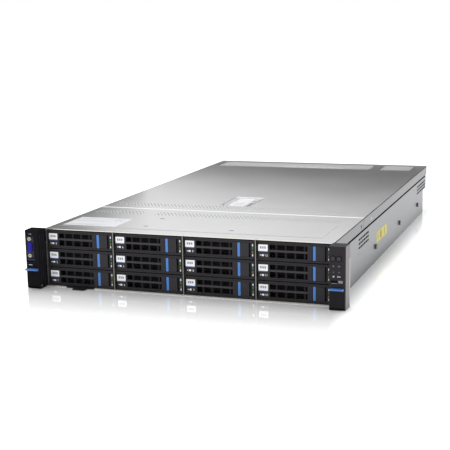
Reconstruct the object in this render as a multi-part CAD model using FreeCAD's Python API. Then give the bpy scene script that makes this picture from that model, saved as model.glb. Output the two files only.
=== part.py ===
# Two-unit rack chassis with twelve drive carriers in its front, as an assembly.
# Seen from the front: X to the right, Y to the rear, Z up, in millimetres.
# Everything is drawn with y = 0 at the carriers' faces, z = 0 under the base tray and
# x = 0 in the middle, and is moved along Y at the end so that the origin lies under
# the middle of the whole length.
import FreeCAD, Part
import math
import os

Vector = FreeCAD.Vector
os.makedirs("parts", exist_ok=True)

# Overall sizes of the chassis
panel_width = 482.6          # over both rack ears
ear_overhang = 22.3          # each ear stands this far beyond the tray's side
body_depth = 784.0           # carriers' faces to the upper rear panel
body_height = 87.0           # underside to the top of the covers
tray_steel = 1.2             # sheet of the base tray
cover_steel = 1.0            # sheet of the covers
cage_steel = 2.4             # doubled sheet of a divider between two columns
panel_steel = 1.2            # sheet of the rear panel
sheet_play = 0.3             # clearance between sheets that slide or slip together
rear_step_depth = 34.0       # how far the lower rear panel stands forward of the upper one
corner_play = 3.0            # room kept free beside folded corners

# Covers
seam_setback = 19.0          # joint between the covers, from the cage's rear
flange_height = 17.0         # how far the covers fold down over the sides
flange_gap = 2.0             # open joint between a flange's edge and the tray's side
cover_overhang = 7.0         # rear cover beyond the upper rear panel
tongue_length = 10.0         # strip of the rear cover that slips under the front one
ridge_width = 13.0           # raised strip along the rear cover's front edge
ridge_rise = 0.5
panel_rise = 0.4             # low raised field on the front cover
field_left_margin = 12.0
field_right_margin = 23.0
field_front = 27.0
field_rear_margin = 63.0     # from the field to the joint of the covers

# Slots in the covers and sides
slot_pitch = 6.0
slot_width = 3.0
vent_length = 59.0           # long slots over the rear
vent_rear_margin = 13.0      # from the slots to the upper rear panel
vent_left_margin = 18.0
vent_right_margin = 21.0
vent_right_count = 11
vent_plain = 21.0            # plain strip between the two groups of slots
side_slot_length = 10.3
side_slot_height = 3.3
side_slot_pitch = 12.2
side_slot_drop = 10.2        # from the flange's edge to the middle of the top row
side_slot_rise = 6.2         # from one row to the next
side_front_lead = 16.0       # the front group starts this far before the cage's end
side_front_count = 6
side_rear_margin = 108.0     # and the rear one this far before the upper rear panel
side_rear_count = 8

# Latch of the rear cover
latch_centre_x = -7.5
latch_pan_width = 46.0
latch_pan_setback = 59.0     # from the joint of the covers
latch_pan_length = 80.0
latch_pan_depth = 7.0
latch_width = 26.0
latch_length = 68.0
latch_thickness = 3.2
latch_pin_radius = 1.5
dip_margin = 5.0             # finger dip in the latch's lever
dip_start = 8.0
dip_end = 30.0

# Drive bays
columns = 4
rows = 3
side_wall = 2.4              # from the tray's side to the middle of the outer cage wall
bay_floor = 1.4              # underside of the lowest carrier's face
bay_top = 1.3                # from the highest carrier's cell to the cover's top
cage_front = 3.0             # floor and dividers reach this far in front of the carriers' faces
cage_depth = 171.0           # dividers reach this far behind the carriers' faces
ledge_width = 1.9
ledge_height = 0.8
ledge_start = 24.0
cage_window_margin = 5.55    # above and below each window of the cross wall

# Drive carriers
face_side_gap = 0.5
face_top_gap = 1.0
bezel_depth = 20.0
bezel_rail = 2.3
lever_play = 0.35
lever_end_room = 27.3        # from the lever's free end to the next divider's middle
lever_plate = 3.0
barrel_radius = 3.2
pin_radius = 1.0
running_play = 0.05
grille_start = 19.9
grille_end_margin = 7.0
grille_shares = (0.78, 1.0, 1.0, 1.0, 0.26)
grille_bar = 2.4
grille_margin = 4.3          # from the face's edges to the upper and lower cells
grille_lower_share = 0.535
grille_middle_bar = 3.0
button_play = 0.5            # from the lever's free end to the button
button_width = 16.7
button_stripe = 4.0
button_margin = 3.75         # above and below the button
button_thickness = 4.0
button_depth = 8.5           # the button's stem reaches this far back
button_stem = (6.0, 10.0)
stem_half_height = 3.0
button_travel = 2.0
slot_beyond_button = 2.6
lamp_gap = 0.7
lamp_width = 3.1
lamp_depth = 6.0
rail_steel = 1.4
rail_drop = 1.1              # the rails end this far below the drive's top
drive_side_room = 3.35       # from a divider's middle to the drive's side
drive_top_room = 2.0
drive_front = 21.5
drive_rear_room = 2.5        # from the drive to the cage's rear
tray_rear_room = 2.0
lid_margin = 4.0             # raised rim round the drive's lid
lid_end = 20.0
lid_depth = 1.0
plug_notch_depth = 4.0
plug_notch_rise = 2.0

# Rack ears
ear_depth = 24.0             # ears stand this far in front of the carriers' faces
ear_rise = 0.5               # above the covers
ear_foot = 0.5
ear_inset = 1.0              # the ear's inner side lies this far inside the tray's side
ear_corner = 2.0             # bevel of the outer front corner
ear_inner_corner = 1.0
ear_edge = 0.8               # bevel of the upper and lower front edges
ear_bracket_foot = 3.0
ear_bracket_drop = 2.0       # the bracket ends this far below the flange's edge
ear_draft = 0.8
bracket_steel = 2.4
bracket_leg = 14.0
ear_head_height = 9.5
ear_head_rise = 0.6
cheek = 1.6
lever_seat_play = 0.6        # above the grip bar
lever_seat_back = 0.4        # behind the lever's round foot
lever_bore_depth = 1.2       # how deep the pin's bores go into the cheeks
lever_seat_bottom = 1.4
ear_lever_play = 0.35
ear_lever_axis_y = -21.0
ear_lever_axis_z = 4.8
ear_lever_nose = 3.0
ear_lever_plate = 4.6
ear_lever_pin = 1.4
grip_drop = 11.5             # from the USB socket's middle to the grip's top
grip_height = 2.2
grip_reach = 8.0
grip_lap = 1.0               # the grip hangs this far down over the plate's front
grip_bevel = 0.6
grip_corner = 1.2
rack_screw_radius = 3.25
rack_screw_drop = 7.3        # from the grip to the rack screw

# Controls and ports on the ears
knob_radius = 3.1
knob_play = 0.35
knob_length = 7.0
knob_proud = 0.5
knob_travel = 1.5
power_knob_inset = 5.5       # from the ear's inner side
locate_knob_inset = 13.6
knob_drop = 16.3             # from the ear's top
service_slot_left = 2.9      # from the ear's inner side
service_slot_width = 8.7
service_slot_drop = 33.2     # from the buttons' middle to the slot's foot
service_slot_height = 3.5
port_inset = 14.0            # from the ear's inner side to the ports' middle
video_drop = 24.9            # from the ear's top
video_length = 15.6
video_width = 7.4
video_flange_length = 24.2
video_flange_width = 12.2
video_screw_pitch = 25.0
video_flange_end = 4.0       # flange beyond each post's socket hole
hex_flats = 5.0
usb_drop = 20.2              # from the video socket's middle
usb_width = 13.1
usb_height = 5.7
port_depth = 14.0
shell_steel = 0.5

# Pull-out tag under the first column
tag_side_margin = 33.0
tag_width = 45.0
tag_front = 6.0
tag_grip_reach = 17.0
tag_grip_half = 11.0
tag_thickness = 0.7
tag_length = 76.0
tag_lip = 0.4                # thinned edge of the floor under the tag
tag_lip_width = 3.0
tag_play = 0.05

# Inside: backplane, fans, board
plane_thickness = 2.4
plane_room = 5.0             # the backplane is lower than the body by this
plug_width = 42.0
plug_height = 5.0
plug_gap = 0.5
cable_room = 21.0            # from the cage's rear to the fan plate
fan_plate = 1.2
fan_room = 7.0               # the fans are lower than the body by this
fan_depth = 38.0
fan_rim = 2.0
fan_count = 4
fan_spacing = 5.5
fan_motor_radius = 17.0
fan_motor_base = 4.0
fan_axle_radius = 2.0
fan_gap = 1.0
blade_count = 7
blade_angle = 38.0
blade_thickness = 1.4
board_height = 9.0
board_thickness = 1.6
board_setback = 54.0         # from the fan plate
board_post_inset = 10.0      # posts, from the board's edges
board_corner = 6.0
sink_length = 100.0
sink_width = 78.0
sink_room = 29.0             # from the sinks' height to the body's
sink_place = 0.48            # of half the body's width
sink_share = 0.28            # of the way from the board's front to the supplies
sink_fins = 12
sink_fin = 1.2
memory_height = 31.0
memory_length = 133.4
memory_pitch = 9.4

# Power supplies and the rear panel
supply_width = 73.5
supply_room = 4.5            # from the supply's height to the step's
supply_length = 185.0
supply_gap = 3.0
supply_side_margin = 4.0
supply_play = 0.3
supply_floor_gap = 0.2
inlet_width = 24.4
inlet_height = 17.4
inlet_depth = 14.0
handle_bar = 4.0
handle_width = 12.0
handle_reach = 26.0
handle_foot = 4.0            # from the case's upper and lower edges to the bow
handle_bend = 5.0
handle_inner_bend = 2.5
inlet_margin = 6.0
supply_slot_start = 52.0
supply_slot_pitch = 4.6
supply_slot_width = 2.6
handle_start = 38.0
card_margin = 23.0           # from the tray's sides
card_slot_width = 104.0
card_right_inset = 59.0      # beyond the slot's width, for the group on the right
card_bar = 6.3
card_play = 1.45
rear_vent_count = 8
port_row_drop = 23.5         # from the step to the row of sockets
network_width = 16.0
network_height = 13.6
network_pitch = 20.0
network_depth = 16.0
network_back = 3.0           # thickness of the socket's back
network_wall = 1.8
usb_pair_places = (46.0, 64.0)   # rear USB sockets, from the first network socket
screen_place = 90.0          # rear video socket
screen_width = 31.0
screen_height = 12.8
socket_depth = 12.0          # depth of the smaller sockets
socket_play = 0.2
socket_rim = 1.0
socket_recess = 0.8

# Rail studs on the sides
stud_radius = 4.0
stud_reach = 3.0
stud_z = 25.5
stud_setback = 87.0          # first stud, from the joint of the covers
stud_rear_margins = (297.0, 105.0)

# Places worked out from the sizes above
body_width = panel_width - 2 * ear_overhang
half_body = body_width / 2
half_panel = panel_width / 2
lower_depth = body_depth - rear_step_depth
cover_under = body_height - cover_steel
wall_top = cover_under - sheet_play
flange_bottom = body_height - flange_height
inner_wall = half_body - tray_steel
joggle = cover_steel + sheet_play
joggled_inner = half_body - joggle - tray_steel
front_reach = ear_depth + grip_reach
rear_reach = body_depth + cover_overhang
rear_step_height = body_height / 2
seam_y = cage_depth + seam_setback
fan_plate_y = cage_depth + cable_room
latch_pan_y = seam_y + latch_pan_setback
stud_places = [seam_y + stud_setback] + [body_depth - margin for margin in stud_rear_margins]
mid_length = (rear_reach - front_reach) / 2
column_pitch = (body_width - 2 * side_wall) / columns
row_pitch = (body_height - bay_floor - bay_top) / rows
bay_left = -columns / 2 * column_pitch
face_width = column_pitch - cage_steel - 2 * face_side_gap
face_height = row_pitch - face_top_gap
panel_face = body_depth - panel_steel
window_height = row_pitch - 2 * cage_window_margin
lever_end = column_pitch - lever_end_room
button_left = lever_end + button_play
button_right = button_left + button_width
slot_right = button_right + slot_beyond_button
lamp_left = slot_right + lamp_gap
lamp_right = lamp_left + lamp_width
button_height = face_height - 2 * button_margin
drive_width = column_pitch - 2 * drive_side_room
drive_height = row_pitch - drive_top_room
drive_length = cage_depth - drive_front - drive_rear_room
rail_height = drive_height - rail_drop
tray_length = cage_depth - tray_rear_room
ear_inner_x = half_body - ear_inset
ear_height = body_height + ear_rise
bracket_top = flange_bottom - ear_bracket_drop
knob_z = ear_height - knob_drop
power_knob_x = ear_inner_x + power_knob_inset
locate_knob_x = ear_inner_x + locate_knob_inset
port_x = -ear_inner_x - port_inset
video_z = ear_height - video_drop
usb_z = video_z - usb_drop
grip_top = usb_z - grip_drop
grip_bottom = grip_top - grip_height
lever_seat_top = grip_top + lever_seat_play
rack_screw_height = grip_bottom - rack_screw_drop
tag_left = -half_body + tag_side_margin
tag_right = tag_left + tag_width
fan_size = body_height - fan_room
fan_bore = fan_size - 2 * fan_rim
fan_pitch = body_width / fan_count - fan_spacing
supply_height = rear_step_height - supply_room
supply_right = half_body - supply_side_margin
card_slot_pitch = (body_height - rear_step_height) / 2 - card_play
card_slot_height = card_slot_pitch - card_bar
port_row_z = rear_step_height - port_row_drop


def block(x0, x1, y0, y1, z0, z1):
    return Part.makeBox(x1 - x0, y1 - y0, z1 - z0, Vector(x0, y0, z0))


def prism(points, direction):
    """A closed outline, given by its corners, pushed along one direction."""
    return Part.Face(Part.makePolygon(points + [points[0]])).extrude(direction)


def along_x(outline, x0, x1):
    return prism([Vector(x0, y, z) for y, z in outline], Vector(x1 - x0, 0, 0))


def along_y(outline, y0, y1):
    return prism([Vector(x, y0, z) for x, z in outline], Vector(0, y1 - y0, 0))


def along_z(outline, z0, z1):
    return prism([Vector(x, y, z0) for x, y in outline], Vector(0, 0, z1 - z0))


def rod(radius, start, length, direction):
    return Part.makeCylinder(radius, length, start, direction)


def fused(shapes):
    return shapes[0].multiFuse(shapes[1:]).removeSplitter()


def mirrored(shape):
    return shape.mirror(Vector(0, 0, 0), Vector(1, 0, 0))


def save(node, solids):
    """Move the solids to the final origin and write them as one sub-part."""
    group = Part.makeCompound(solids)
    group.translate(Vector(0, -mid_length, 0))
    group.exportStep("parts/" + node + ".step")
    print(node, len(group.Solids), "solids")


# Base tray: one folded sheet with a floor and two sides. Each side is set inwards near
# its top, so that the covers' flanges lie flush with it, and is stepped at the rear.
def side_slots(first, count):
    slots = []
    for row in range(3):
        height = flange_bottom - side_slot_drop - row * side_slot_rise
        for place in range(count):
            y = first + place * side_slot_pitch
            low = height - side_slot_height / 2
            slots.append(block(-half_body, half_body, y, y + side_slot_length, low, low + side_slot_height))
    return slots


def base_tray():
    joggle_z = flange_bottom - flange_gap
    outer = half_body
    upper = half_body - joggle
    outline = [(-outer, 0), (outer, 0), (outer, joggle_z), (upper, joggle_z), (upper, wall_top)]
    outline += [(upper - tray_steel, wall_top), (upper - tray_steel, joggle_z - tray_steel)]
    outline += [(inner_wall, joggle_z - tray_steel), (inner_wall, tray_steel)]
    outline += [(-x, z) for x, z in reversed(outline[2:])]
    tray = along_y(outline, 0, panel_face)
    step = block(-half_body, half_body, lower_depth - panel_steel, panel_face, 0, rear_step_height)
    lip_half = ear_inner_x - sheet_play
    front_lip = block(-lip_half, lip_half, -cage_front, 0, 0, tray_steel)
    tag_end = tag_length - tag_front + sheet_play
    tag_slot = block(tag_left - sheet_play, tag_right + sheet_play, -cage_front, tag_end, tag_lip, tray_steel)
    tag_window = block(tag_left + tag_lip_width, tag_right - tag_lip_width, -cage_front,
                       tag_end - tag_lip_width, 0, tag_lip)
    slots = side_slots(cage_depth - side_front_lead, side_front_count)
    slots += side_slots(body_depth - side_rear_margin, side_rear_count)
    return fused([tray, front_lip]).cut([step, tag_slot, tag_window] + slots)


def rail_studs():
    studs = []
    for y in stud_places:
        stud = rod(stud_radius, Vector(half_body, y, stud_z), stud_reach, Vector(1, 0, 0))
        studs += [stud, mirrored(stud)]
    return studs


save("base_tray", [base_tray()])
save("rail_studs", rail_studs())


# Drive cage: dividers between the columns, thinner outer walls against the tray's sides,
# ledges that carry each carrier's rails, and a cross wall with a window for each plug.
def cell_corner(column, row):
    """Middle of the divider on the left, and underside of the carrier's face."""
    return bay_left + column * column_pitch, bay_floor + row * row_pitch


def divider(index):
    middle = bay_left + index * column_pitch
    wall = cage_steel / 2
    left = max(middle - wall, -joggled_inner)
    right = min(middle + wall, joggled_inner)
    rear = cage_depth - tray_steel
    parts = [block(left, right, -cage_front, rear, tray_steel, wall_top)]
    for row in range(rows):
        top = bay_floor + row * row_pitch + ledge_height
        low = top - ledge_height - (bay_floor - tray_steel)
        if index > 0:
            parts.append(block(middle - wall - ledge_width, left, ledge_start, rear, low, top))
        if index < columns:
            parts.append(block(right, middle + wall + ledge_width, ledge_start, rear, low, top))
    return fused(parts)


def cross_wall():
    wall = block(-joggled_inner, joggled_inner, cage_depth - tray_steel, cage_depth, tray_steel, wall_top)
    windows = []
    for column in range(columns):
        for row in range(rows):
            x, z = cell_corner(column, row)
            left = x + column_pitch / 2 - drive_width / 2 + cage_window_margin
            windows.append(block(left, left + drive_width - 2 * cage_window_margin, cage_depth - tray_steel,
                                 cage_depth, z + cage_window_margin, z + row_pitch - cage_window_margin))
    return wall.cut(windows)


save("drive_cage", [divider(index) for index in range(columns + 1)] + [cross_wall()])


# Drive carriers: a moulded bezel with the pin of its lever, two steel rails with a cross
# strip, the drive between them, and a strip of lamps.
def bezel(x, z):
    left = x + cage_steel / 2 + face_side_gap
    right = left + face_width
    top = z + face_height
    pin_x = left + barrel_radius
    body = block(left, right, 0, bezel_depth, z, top)
    edges = [edge for edge in body.Edges if edge.BoundBox.YMax < 0.01 and edge.BoundBox.ZLength < 0.01]
    body = body.makeChamfer(0.5, edges)
    well_end = x + lever_end + lever_play
    lever_well = block(left, well_end, 0, 2 * barrel_radius + lever_play, z + bezel_rail, top - bezel_rail)
    air = block(x + grille_start - 2, well_end - 5, 0, bezel_depth, z + bezel_rail + 1, top - bezel_rail - 1)
    middle = z + face_height / 2
    low = middle - button_height / 2
    high = middle + button_height / 2
    button_well = block(well_end, x + slot_right, 0, button_thickness + 0.3, low - 0.3, high + 0.3)
    stem_half = stem_half_height + sheet_play
    stem_slot = block(x + button_left + button_stem[0] - sheet_play,
                      x + button_left + button_stem[1] + button_travel + sheet_play,
                      button_thickness, button_depth + sheet_play, middle - stem_half, middle + stem_half)
    lamp_seat = block(x + lamp_left, x + lamp_right, 0, lamp_depth, low, high)
    pin = rod(pin_radius, Vector(pin_x, barrel_radius, z + bezel_rail), face_height - 2 * bezel_rail,
              Vector(0, 0, 1))
    return fused([body.cut([lever_well, air, button_well, stem_slot, lamp_seat]), pin])


def carrier(column, row):
    x, z = cell_corner(column, row)
    centre = x + column_pitch / 2
    middle = z + face_height / 2
    lamps = block(x + lamp_left, x + lamp_right, 0.2, lamp_depth,
                  middle - button_height / 2, middle + button_height / 2)
    rail_low = z + ledge_height + 0.2
    rail_inner = drive_width / 2
    rails = []
    for side in (-1, 1):
        inner = centre + side * rail_inner
        outer = inner + side * rail_steel
        rails.append(block(min(inner, outer), max(inner, outer), bezel_depth, tray_length,
                           rail_low, rail_low + rail_height))
    strip = block(centre - rail_inner, centre + rail_inner, tray_length - 0.3, tray_length,
                  rail_low, rail_low + 1.0)
    drive_low = z + ledge_height + 0.2
    drive_end = drive_front + drive_length
    half = drive_width / 2
    body = [(centre - half, drive_front), (centre + half, drive_front)]
    body += [(centre + half, drive_end), (centre - half, drive_end)]
    drive = along_z(body, drive_low, drive_low + drive_height)
    plug_half = plug_width / 2 + plug_notch_rise / 2
    notch_low = drive_low + plug_notch_rise
    plug_notch = block(centre - plug_half, centre + plug_half, drive_end - plug_notch_depth, drive_end,
                       notch_low, notch_low + plug_height + plug_notch_rise)
    lid = block(centre - half + lid_margin, centre + half - lid_margin, drive_front + lid_margin,
                drive_end - lid_end, drive_low + drive_height - lid_depth, drive_low + drive_height)
    drive = drive.cut([plug_notch, lid])
    return [bezel(x, z)] + rails + [strip, drive, lamps]


# Lever of a carrier: a grille plate whose rounded left end turns on the upright pin.
def carrier_lever(column, row):
    x, z = cell_corner(column, row)
    left = x + cage_steel / 2 + face_side_gap
    pin_x = left + barrel_radius
    low = z + bezel_rail + lever_play
    high = z + face_height - bezel_rail - lever_play
    front = Vector(pin_x, 0, low)
    nose = Vector(pin_x - barrel_radius, barrel_radius, low)
    back = Vector(pin_x, 2 * barrel_radius, low)
    root = Vector(pin_x + 4, 2 * barrel_radius, low)
    heel = Vector(pin_x + 7, lever_plate, low)
    end_back = Vector(x + lever_end, lever_plate, low)
    end_front = Vector(x + lever_end, 0.6, low)
    end_face = Vector(x + lever_end - 0.6, 0, low)
    round_end = Part.Arc(front, nose, back).toShape()
    outline = [round_end]
    corners = [back, root, heel, end_back, end_front, end_face, front]
    for start, finish in zip(corners, corners[1:]):
        outline.append(Part.LineSegment(start, finish).toShape())
    plate = Part.Face(Part.Wire(outline)).extrude(Vector(0, 0, high - low))
    cells_low = z + grille_margin
    cells_high = z + face_height - grille_margin
    split = cells_low + (cells_high - cells_low - grille_middle_bar) * grille_lower_share
    room = lever_end - grille_end_margin - grille_start - (len(grille_shares) - 1) * grille_bar
    holes = []
    for bottom, top in ((cells_low, split), (split + grille_middle_bar, cells_high)):
        place = x + grille_start
        for share in grille_shares:
            width = room * share / sum(grille_shares)
            holes.append(block(place, place + width, 0, lever_plate, bottom, top))
            place += width + grille_bar
    holes.append(rod(pin_radius + running_play, Vector(pin_x, barrel_radius, low), high - low,
                     Vector(0, 0, 1)))
    return plate.cut(holes)


# Release button: a flat slider with a raised stripe for the fingertip and a stem behind.
def carrier_button(column, row):
    x, z = cell_corner(column, row)
    middle = z + face_height / 2
    low = middle - button_height / 2
    high = middle + button_height / 2
    left = x + button_left
    outline = [(left, 0.3), (left + 0.3, -0.3), (left + button_stripe - 0.3, -0.3), (left + button_stripe, 0)]
    outline += [(x + button_right, 0), (x + button_right, button_thickness)]
    outline += [(left, button_thickness)]
    slider = along_z(outline, low, high)
    stem = block(left + button_stem[0], left + button_stem[1], button_thickness, button_depth,
                 middle - stem_half_height, middle + stem_half_height)
    return fused([slider, stem])


for column in range(columns):
    for row in range(rows):
        number = "%02d" % (column * rows + row + 1)
        save("carrier_" + number, carrier(column, row))
        save("lever_" + number, [carrier_lever(column, row)])
        save("button_" + number, [carrier_button(column, row)])


# Covers: two folded sheets. The front one is fixed and has a low raised field. The rear
# one slides back and has a raised front edge, a tongue, vents over the rear and a pan.
def folded_cover(y0, y1):
    side = half_body
    inner = half_body - cover_steel
    outline = [(-side, flange_bottom), (-side, body_height), (side, body_height), (side, flange_bottom)]
    outline += [(inner, flange_bottom), (inner, cover_under), (-inner, cover_under), (-inner, flange_bottom)]
    return along_y(outline, y0, y1)


def front_cover():
    cover = folded_cover(0, seam_y)
    left = -half_body + field_left_margin
    right = half_body - field_right_margin
    near = field_front
    far = seam_y - field_rear_margin
    slope = panel_rise
    raised = Part.makeLoft([
        Part.makePolygon([Vector(left, near, body_height), Vector(right, near, body_height),
                          Vector(right, far, body_height), Vector(left, far, body_height),
                          Vector(left, near, body_height)]),
        Part.makePolygon([Vector(left + slope, near + slope, body_height + panel_rise),
                          Vector(right - slope, near + slope, body_height + panel_rise),
                          Vector(right - slope, far - slope, body_height + panel_rise),
                          Vector(left + slope, far - slope, body_height + panel_rise),
                          Vector(left + slope, near + slope, body_height + panel_rise)])], True, True)
    return fused([cover, raised])


def cover_slots(first, count, y0, length):
    slots = []
    for place in range(count):
        x = first + place * slot_pitch - slot_width / 2
        slots.append(block(x, x + slot_width, y0, y0 + length, cover_under, body_height))
    return slots


def pan_edges():
    return latch_centre_x - latch_pan_width / 2, latch_centre_x + latch_pan_width / 2


def rear_cover():
    cover = folded_cover(seam_y + sheet_play, rear_reach)
    start = seam_y + sheet_play
    rise = [(start, body_height), (start + 1.5, body_height + ridge_rise)]
    rise += [(start + ridge_width - 3, body_height + ridge_rise), (start + ridge_width, body_height)]
    ridge = along_x(rise, -half_body, half_body)
    tongue_half = inner_wall - 8
    tongue_top = cover_under - sheet_play
    tongue = block(-tongue_half, tongue_half, seam_y - tongue_length, start + 6,
                   tongue_top - cover_steel, tongue_top)
    neck = block(-tongue_half, tongue_half, start, start + 6, tongue_top - cover_steel, cover_under)
    left, right = pan_edges()
    mouth = block(left, right, latch_pan_y, latch_pan_y + latch_pan_length, cover_under, body_height)
    vent_y = body_depth - vent_rear_margin - vent_length
    first = -half_body + vent_left_margin
    group = half_body - vent_right_margin - (vent_right_count - 1) * slot_pitch
    count = round((group - vent_plain - first) / slot_pitch) + 1
    slots = cover_slots(first, count, vent_y, vent_length)
    slots += cover_slots(group, vent_right_count, vent_y, vent_length)
    return fused([cover, ridge, tongue, neck]).cut(slots + [mouth])


# Latch pan: a pressed tray below the cover, with two eyes for the lever's pin.
def latch_pan():
    left, right = pan_edges()
    near = latch_pan_y
    far = latch_pan_y + latch_pan_length
    low = cover_under - latch_pan_depth
    outer = block(left - 3, right + 3, near - 3, far + 3, low, cover_under)
    corner = [edge for edge in outer.Edges if edge.BoundBox.ZMax < low + 0.01]
    outer = outer.makeChamfer(2.0, corner)
    hollow = block(left, right, near, far, low + cover_steel, cover_under)
    eyes = []
    for side in (-1, 1):
        x = latch_centre_x + side * (latch_width / 2 + 0.4)
        eyes.append(block(min(x, x + side * 2), max(x, x + side * 2), latch_pin_y() - 3, latch_pin_y() + 3,
                          low + cover_steel, cover_under - 0.4))
    pin = rod(latch_pin_radius, Vector(latch_centre_x - latch_width / 2 - 2.4, latch_pin_y(), latch_pin_z()),
              latch_width + 4.8, Vector(1, 0, 0))
    shape = fused([outer.cut(hollow)] + eyes)
    return [shape.cut(pin), pin]


def latch_pin_y():
    return latch_pan_y + latch_length + 2


def latch_pin_z():
    return body_height - 0.4 - latch_thickness / 2 - 0.6


# Lever of the cover latch: a flat handle with a round eye at its rear and a finger dip.
def cover_latch():
    y = latch_pin_y()
    z = latch_pin_z()
    top = body_height - 0.4
    under = top - latch_thickness
    eye = latch_pin_radius + 1.3
    x0 = latch_centre_x - latch_width / 2
    tip = y - latch_length + 2
    outline = [(tip, under + 1.2), (tip + 1.5, top), (y - eye - 4, top), (y - eye, z + eye * 0.6)]
    outline += [(y, z + 0.4), (y, z - 0.4), (y - eye, z - eye * 0.6), (y - eye - 3, under), (tip, under)]
    handle = along_x(outline, x0, x0 + latch_width)
    barrel = rod(eye, Vector(x0, y, z), latch_width, Vector(1, 0, 0))
    hole = rod(latch_pin_radius + running_play, Vector(x0, y, z), latch_width, Vector(1, 0, 0))
    dip = block(x0 + dip_margin, x0 + latch_width - dip_margin, tip + dip_start, tip + dip_end, top - 1, top)
    return fused([handle, barrel]).cut([hole, dip])


save("front_cover", [front_cover()])
save("rear_cover", [rear_cover()] + latch_pan())
save("cover_latch", [cover_latch()])


# Rack ears: a folded steel bracket on the tray's side and a moulded hood in front of it,
# with a seat for the flip-down lever, and a hole for the rack screw through both.
def ear_bracket():
    leg = half_body + tray_steel
    outline = [(half_body, -bracket_steel), (half_panel, -bracket_steel), (half_panel, 0)]
    outline += [(leg, 0), (leg, bracket_leg), (half_body, bracket_leg)]
    bracket = along_z(outline, ear_bracket_foot, bracket_top)
    return bracket.cut(rack_hole())


def rack_hole():
    return rod(rack_screw_radius, Vector((ear_inner_x + half_panel) / 2, -ear_depth, rack_screw_height),
               ear_depth + 1, Vector(0, 1, 0))


def ear_hood():
    front = half_panel - ear_draft
    outline = [(ear_inner_x, 0), (ear_inner_x, -ear_depth + ear_inner_corner)]
    outline += [(ear_inner_x + ear_inner_corner, -ear_depth), (front - ear_corner, -ear_depth)]
    outline += [(front, -ear_depth + ear_corner), (half_panel, 0)]
    hood = along_z(outline, ear_foot, ear_height)
    nose = -ear_depth + ear_corner + 0.01
    edges = [edge for edge in hood.Edges if edge.BoundBox.ZLength < 0.01 and edge.BoundBox.YMax < nose]
    hood = hood.makeChamfer(ear_edge, edges)
    head = block(ear_inner_x + ear_inner_corner, front - ear_corner, -ear_depth - ear_head_rise, -ear_depth,
                 ear_height - ear_head_height, ear_height - ear_edge)
    bracket_seat = block(ear_inner_x, half_panel + 1, -bracket_steel, 1, ear_bracket_foot, bracket_top)
    seat = ear_seat()
    return fused([hood, head]).cut([bracket_seat, seat, rack_hole()])


def ear_seat():
    """Room for the lever, with a round bore in each cheek for its pin."""
    back = ear_lever_axis_y + ear_lever_nose + lever_seat_back
    front = half_panel - ear_draft
    room = block(ear_inner_x + cheek, front - cheek, -ear_depth - 1, back, lever_seat_bottom, lever_seat_top)
    start = Vector(ear_inner_x + cheek - lever_bore_depth, ear_lever_axis_y, ear_lever_axis_z)
    reach = front - ear_inner_x - 2 * cheek + 2 * lever_bore_depth
    bore = rod(ear_lever_pin + running_play, start, reach, Vector(1, 0, 0))
    return room.fuse(bore)


def right_hood():
    hood = ear_hood()
    cuts = []
    for x in (power_knob_x, locate_knob_x):
        start = Vector(x, -ear_depth - 1, knob_z)
        depth = 1 + knob_length - knob_proud + knob_travel + 0.5
        cuts.append(rod(knob_radius + knob_play, start, depth, Vector(0, 1, 0)))
    left = ear_inner_x + service_slot_left
    low = knob_z - service_slot_drop
    cuts.append(block(left, left + service_slot_width, -ear_depth - 1, -ear_depth + knob_length - 1,
                      low, low + service_slot_height))
    return hood.cut(cuts)


def left_hood():
    hood = mirrored(ear_hood())
    flange_half = video_flange_length / 2 + video_flange_end
    video = block(port_x - video_flange_width / 2, port_x + video_flange_width / 2, -ear_depth - 1,
                  -ear_depth + port_depth, video_z - flange_half, video_z + flange_half)
    usb = block(port_x - usb_width / 2, port_x + usb_width / 2, -ear_depth - 1,
                -ear_depth + port_depth, usb_z - usb_height / 2, usb_z + usb_height / 2)
    return hood.cut([video, usb])


# Flip-down lever of an ear: a plate on a low cross pin, with a grip bar along its top.
def ear_lever():
    left = ear_inner_x + cheek + ear_lever_play
    right = half_panel - ear_draft - cheek - ear_lever_play
    y = ear_lever_axis_y
    z = ear_lever_axis_z
    back = -ear_depth + ear_lever_plate
    low = Vector(left, y, z - ear_lever_nose)
    front_mid = Vector(left, y - ear_lever_nose * math.sqrt(0.5), z - ear_lever_nose * math.sqrt(0.5))
    front = Vector(left, y - ear_lever_nose, z)
    rear_mid = Vector(left, y + ear_lever_nose * math.sqrt(0.5), z - ear_lever_nose * math.sqrt(0.5))
    rear = Vector(left, y + ear_lever_nose, z)
    plate_top = grip_bottom + grip_lap
    corners = [front, Vector(left, -ear_depth, plate_top), Vector(left, back, plate_top),
               Vector(left, back, z + 2 * ear_lever_nose), rear]
    outline = [Part.Arc(rear, rear_mid, low).toShape(), Part.Arc(low, front_mid, front).toShape()]
    for start, finish in zip(corners, corners[1:]):
        outline.append(Part.LineSegment(start, finish).toShape())
    plate = Part.Face(Part.Wire(outline)).extrude(Vector(right - left, 0, 0))
    pin_reach = ear_lever_play + lever_bore_depth - 0.2
    pin = rod(ear_lever_pin, Vector(left - pin_reach, y, z), right - left + 2 * pin_reach, Vector(1, 0, 0))
    return [fused([plate, pin]), grip_bar(left, right, back)]


def grip_bar(left, right, back):
    tip = -ear_depth - grip_reach
    plate_top = grip_bottom + grip_lap
    side = [(tip, grip_bottom + grip_bevel), (tip + grip_bevel, grip_bottom), (-ear_depth, grip_bottom)]
    side += [(-ear_depth, plate_top), (back, plate_top), (back, grip_top), (tip + grip_bevel, grip_top)]
    side += [(tip, grip_top - grip_bevel)]
    plan = [(left, back), (left, tip + grip_corner), (left + grip_corner, tip)]
    plan += [(right - grip_corner, tip), (right, tip + grip_corner), (right, back)]
    return along_x(side, left, right).common(along_z(plan, grip_bottom, grip_top))


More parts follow.
